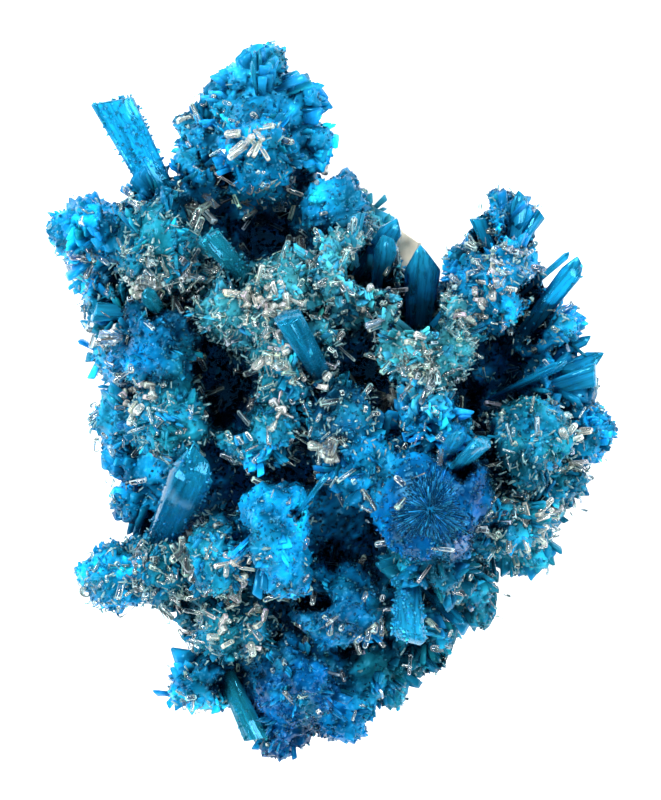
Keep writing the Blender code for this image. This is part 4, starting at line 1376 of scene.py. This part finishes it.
def make_large_blades(material):
    """Makes the large crystals as one piece, and returns their surface."""
    corners, triangles, colours, coats, grooves, starts = [], [], [], [], [], 0
    for blade in BLADES:
        mesh = large_blade(blade)
        bmesh.ops.triangulate(mesh, faces=mesh.faces)
        mesh.verts.index_update()
        places = np.array([corner.co[:] for corner in mesh.verts])
        triangles += [[starts + corner.index for corner in face.verts] for face in mesh.faces]
        coats += [blade.coat] * len(mesh.faces)
        back = np.array(blade_place(blade).inverted())
        local = places @ back[:3, :3].T + back[:3, 3]
        grooves.append(local * (1.0, 1.0, GROOVE_STRETCH))
        corners.append(places)
        colours.append(blade_colours(blade, places))
        starts += len(places)
        mesh.free()
    corners = np.concatenate(corners)
    colours = np.concatenate(colours)
    triangles = np.array(triangles)
    mesh = mesh_of("large_blades", corners, triangles.ravel(), 3 * np.arange(len(triangles)))
    add_tint(mesh, colours)
    rows = np.concatenate(grooves).astype(np.float32)
    mesh.attributes.new("grooves", "FLOAT_VECTOR", "POINT").data.foreach_set("vector", rows.ravel())
    dress(new_object("large_blades", mesh), material)
    return Surface(corners, triangles, colours, np.array(coats))


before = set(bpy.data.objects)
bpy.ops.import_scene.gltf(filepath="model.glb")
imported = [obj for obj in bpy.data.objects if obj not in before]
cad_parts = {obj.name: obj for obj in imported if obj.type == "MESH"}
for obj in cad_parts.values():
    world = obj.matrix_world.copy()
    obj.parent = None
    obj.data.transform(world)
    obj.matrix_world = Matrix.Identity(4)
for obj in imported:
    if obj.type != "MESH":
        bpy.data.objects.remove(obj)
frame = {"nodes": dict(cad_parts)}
solid_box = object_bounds()
chance = np.random.default_rng(20)
low_corner, high_corner = (np.array(corner) / MM for corner in solid_box)
margin = BOX_SHARE * (high_corner - low_corner)
low_corner = low_corner - margin
low_corner[2] = LOWEST_TIP
box = (low_corner, high_corner + margin)

bpy.context.scene.view_settings.view_transform = "Standard"
clear = zeolite_material("clear_zeolite", CLEAR, roughness=0.03, clearness=0.97)
milky = zeolite_material("milky_zeolite", MILK, roughness=0.1, clearness=0.75)
frosty = zeolite_material("zeolite_frost", FROST, roughness=0.1, clearness=0.6)
rough_blue = blue_material(
    "pentagonite_mass", roughness=0.2, clearness=0.2, noise_scale=1000.0, density=300.0, bump_strength=0.9
)
fine_blue = blue_material(
    "fine_pentagonite", roughness=0.12, clearness=0.5, noise_scale=1500.0, density=0.0, bump_strength=0.15
)
dress_nodes(frame["nodes"], clear)
mass, mass_tree = make_mass(rough_blue, chance)
large = make_large_blades(large_material())

blades = Growth(tooth_shape())
grow_blades(blades, chance)
grow_skirt(blades, mass, chance)
splinters = Growth(splinter_shape())
grow_druse(splinters, mass, DRUSE_ON_MASS, chance)
grow_druse(splinters, large, DRUSE_ON_LARGE, chance)
grains = Growth(grain_shape())
grow_grains(grains, mass, GRAINS_ON_MASS, chance)
grow_grains(grains, large, GRAINS_ON_LARGE, chance)
fibres = Growth(splinter_shape())
grow_rosette(fibres, chance)
frost = Growth(splinter_shape())
grow_frost(frost, mass, FROST_ON_MASS, chance)
clear_rods = Growth(rod_shape())
milky_rods = Growth(rod_shape())
grow_zeolites(clear_rods, mass_tree, chance)
single_rods = Growth(rod_shape())
grow_cavity_zeolites(single_rods, mass, chance)
grow_tufts(clear_rods, milky_rods, mass_tree, chance)

settle(blades, ["blades_upper", "blades_lower"], fine_blue, box)
settle(splinters, ["druse_upper", "druse_lower"], fine_blue, box, everywhere=True)
settle(fibres, ["rosette_fibres"], fine_blue, box, everywhere=True)
settle(grains, ["druse_grains"], fine_blue, box)
settle(frost, ["zeolite_frost"], frosty, box)
settle(clear_rods, ["clear_zeolites_upper", "clear_zeolites_lower"], clear, box)
settle(single_rods, ["single_zeolites"], clear, box, everywhere=True)
settle(milky_rods, ["milky_zeolites"], milky, box)

make_floor()
make_light()
make_camera()
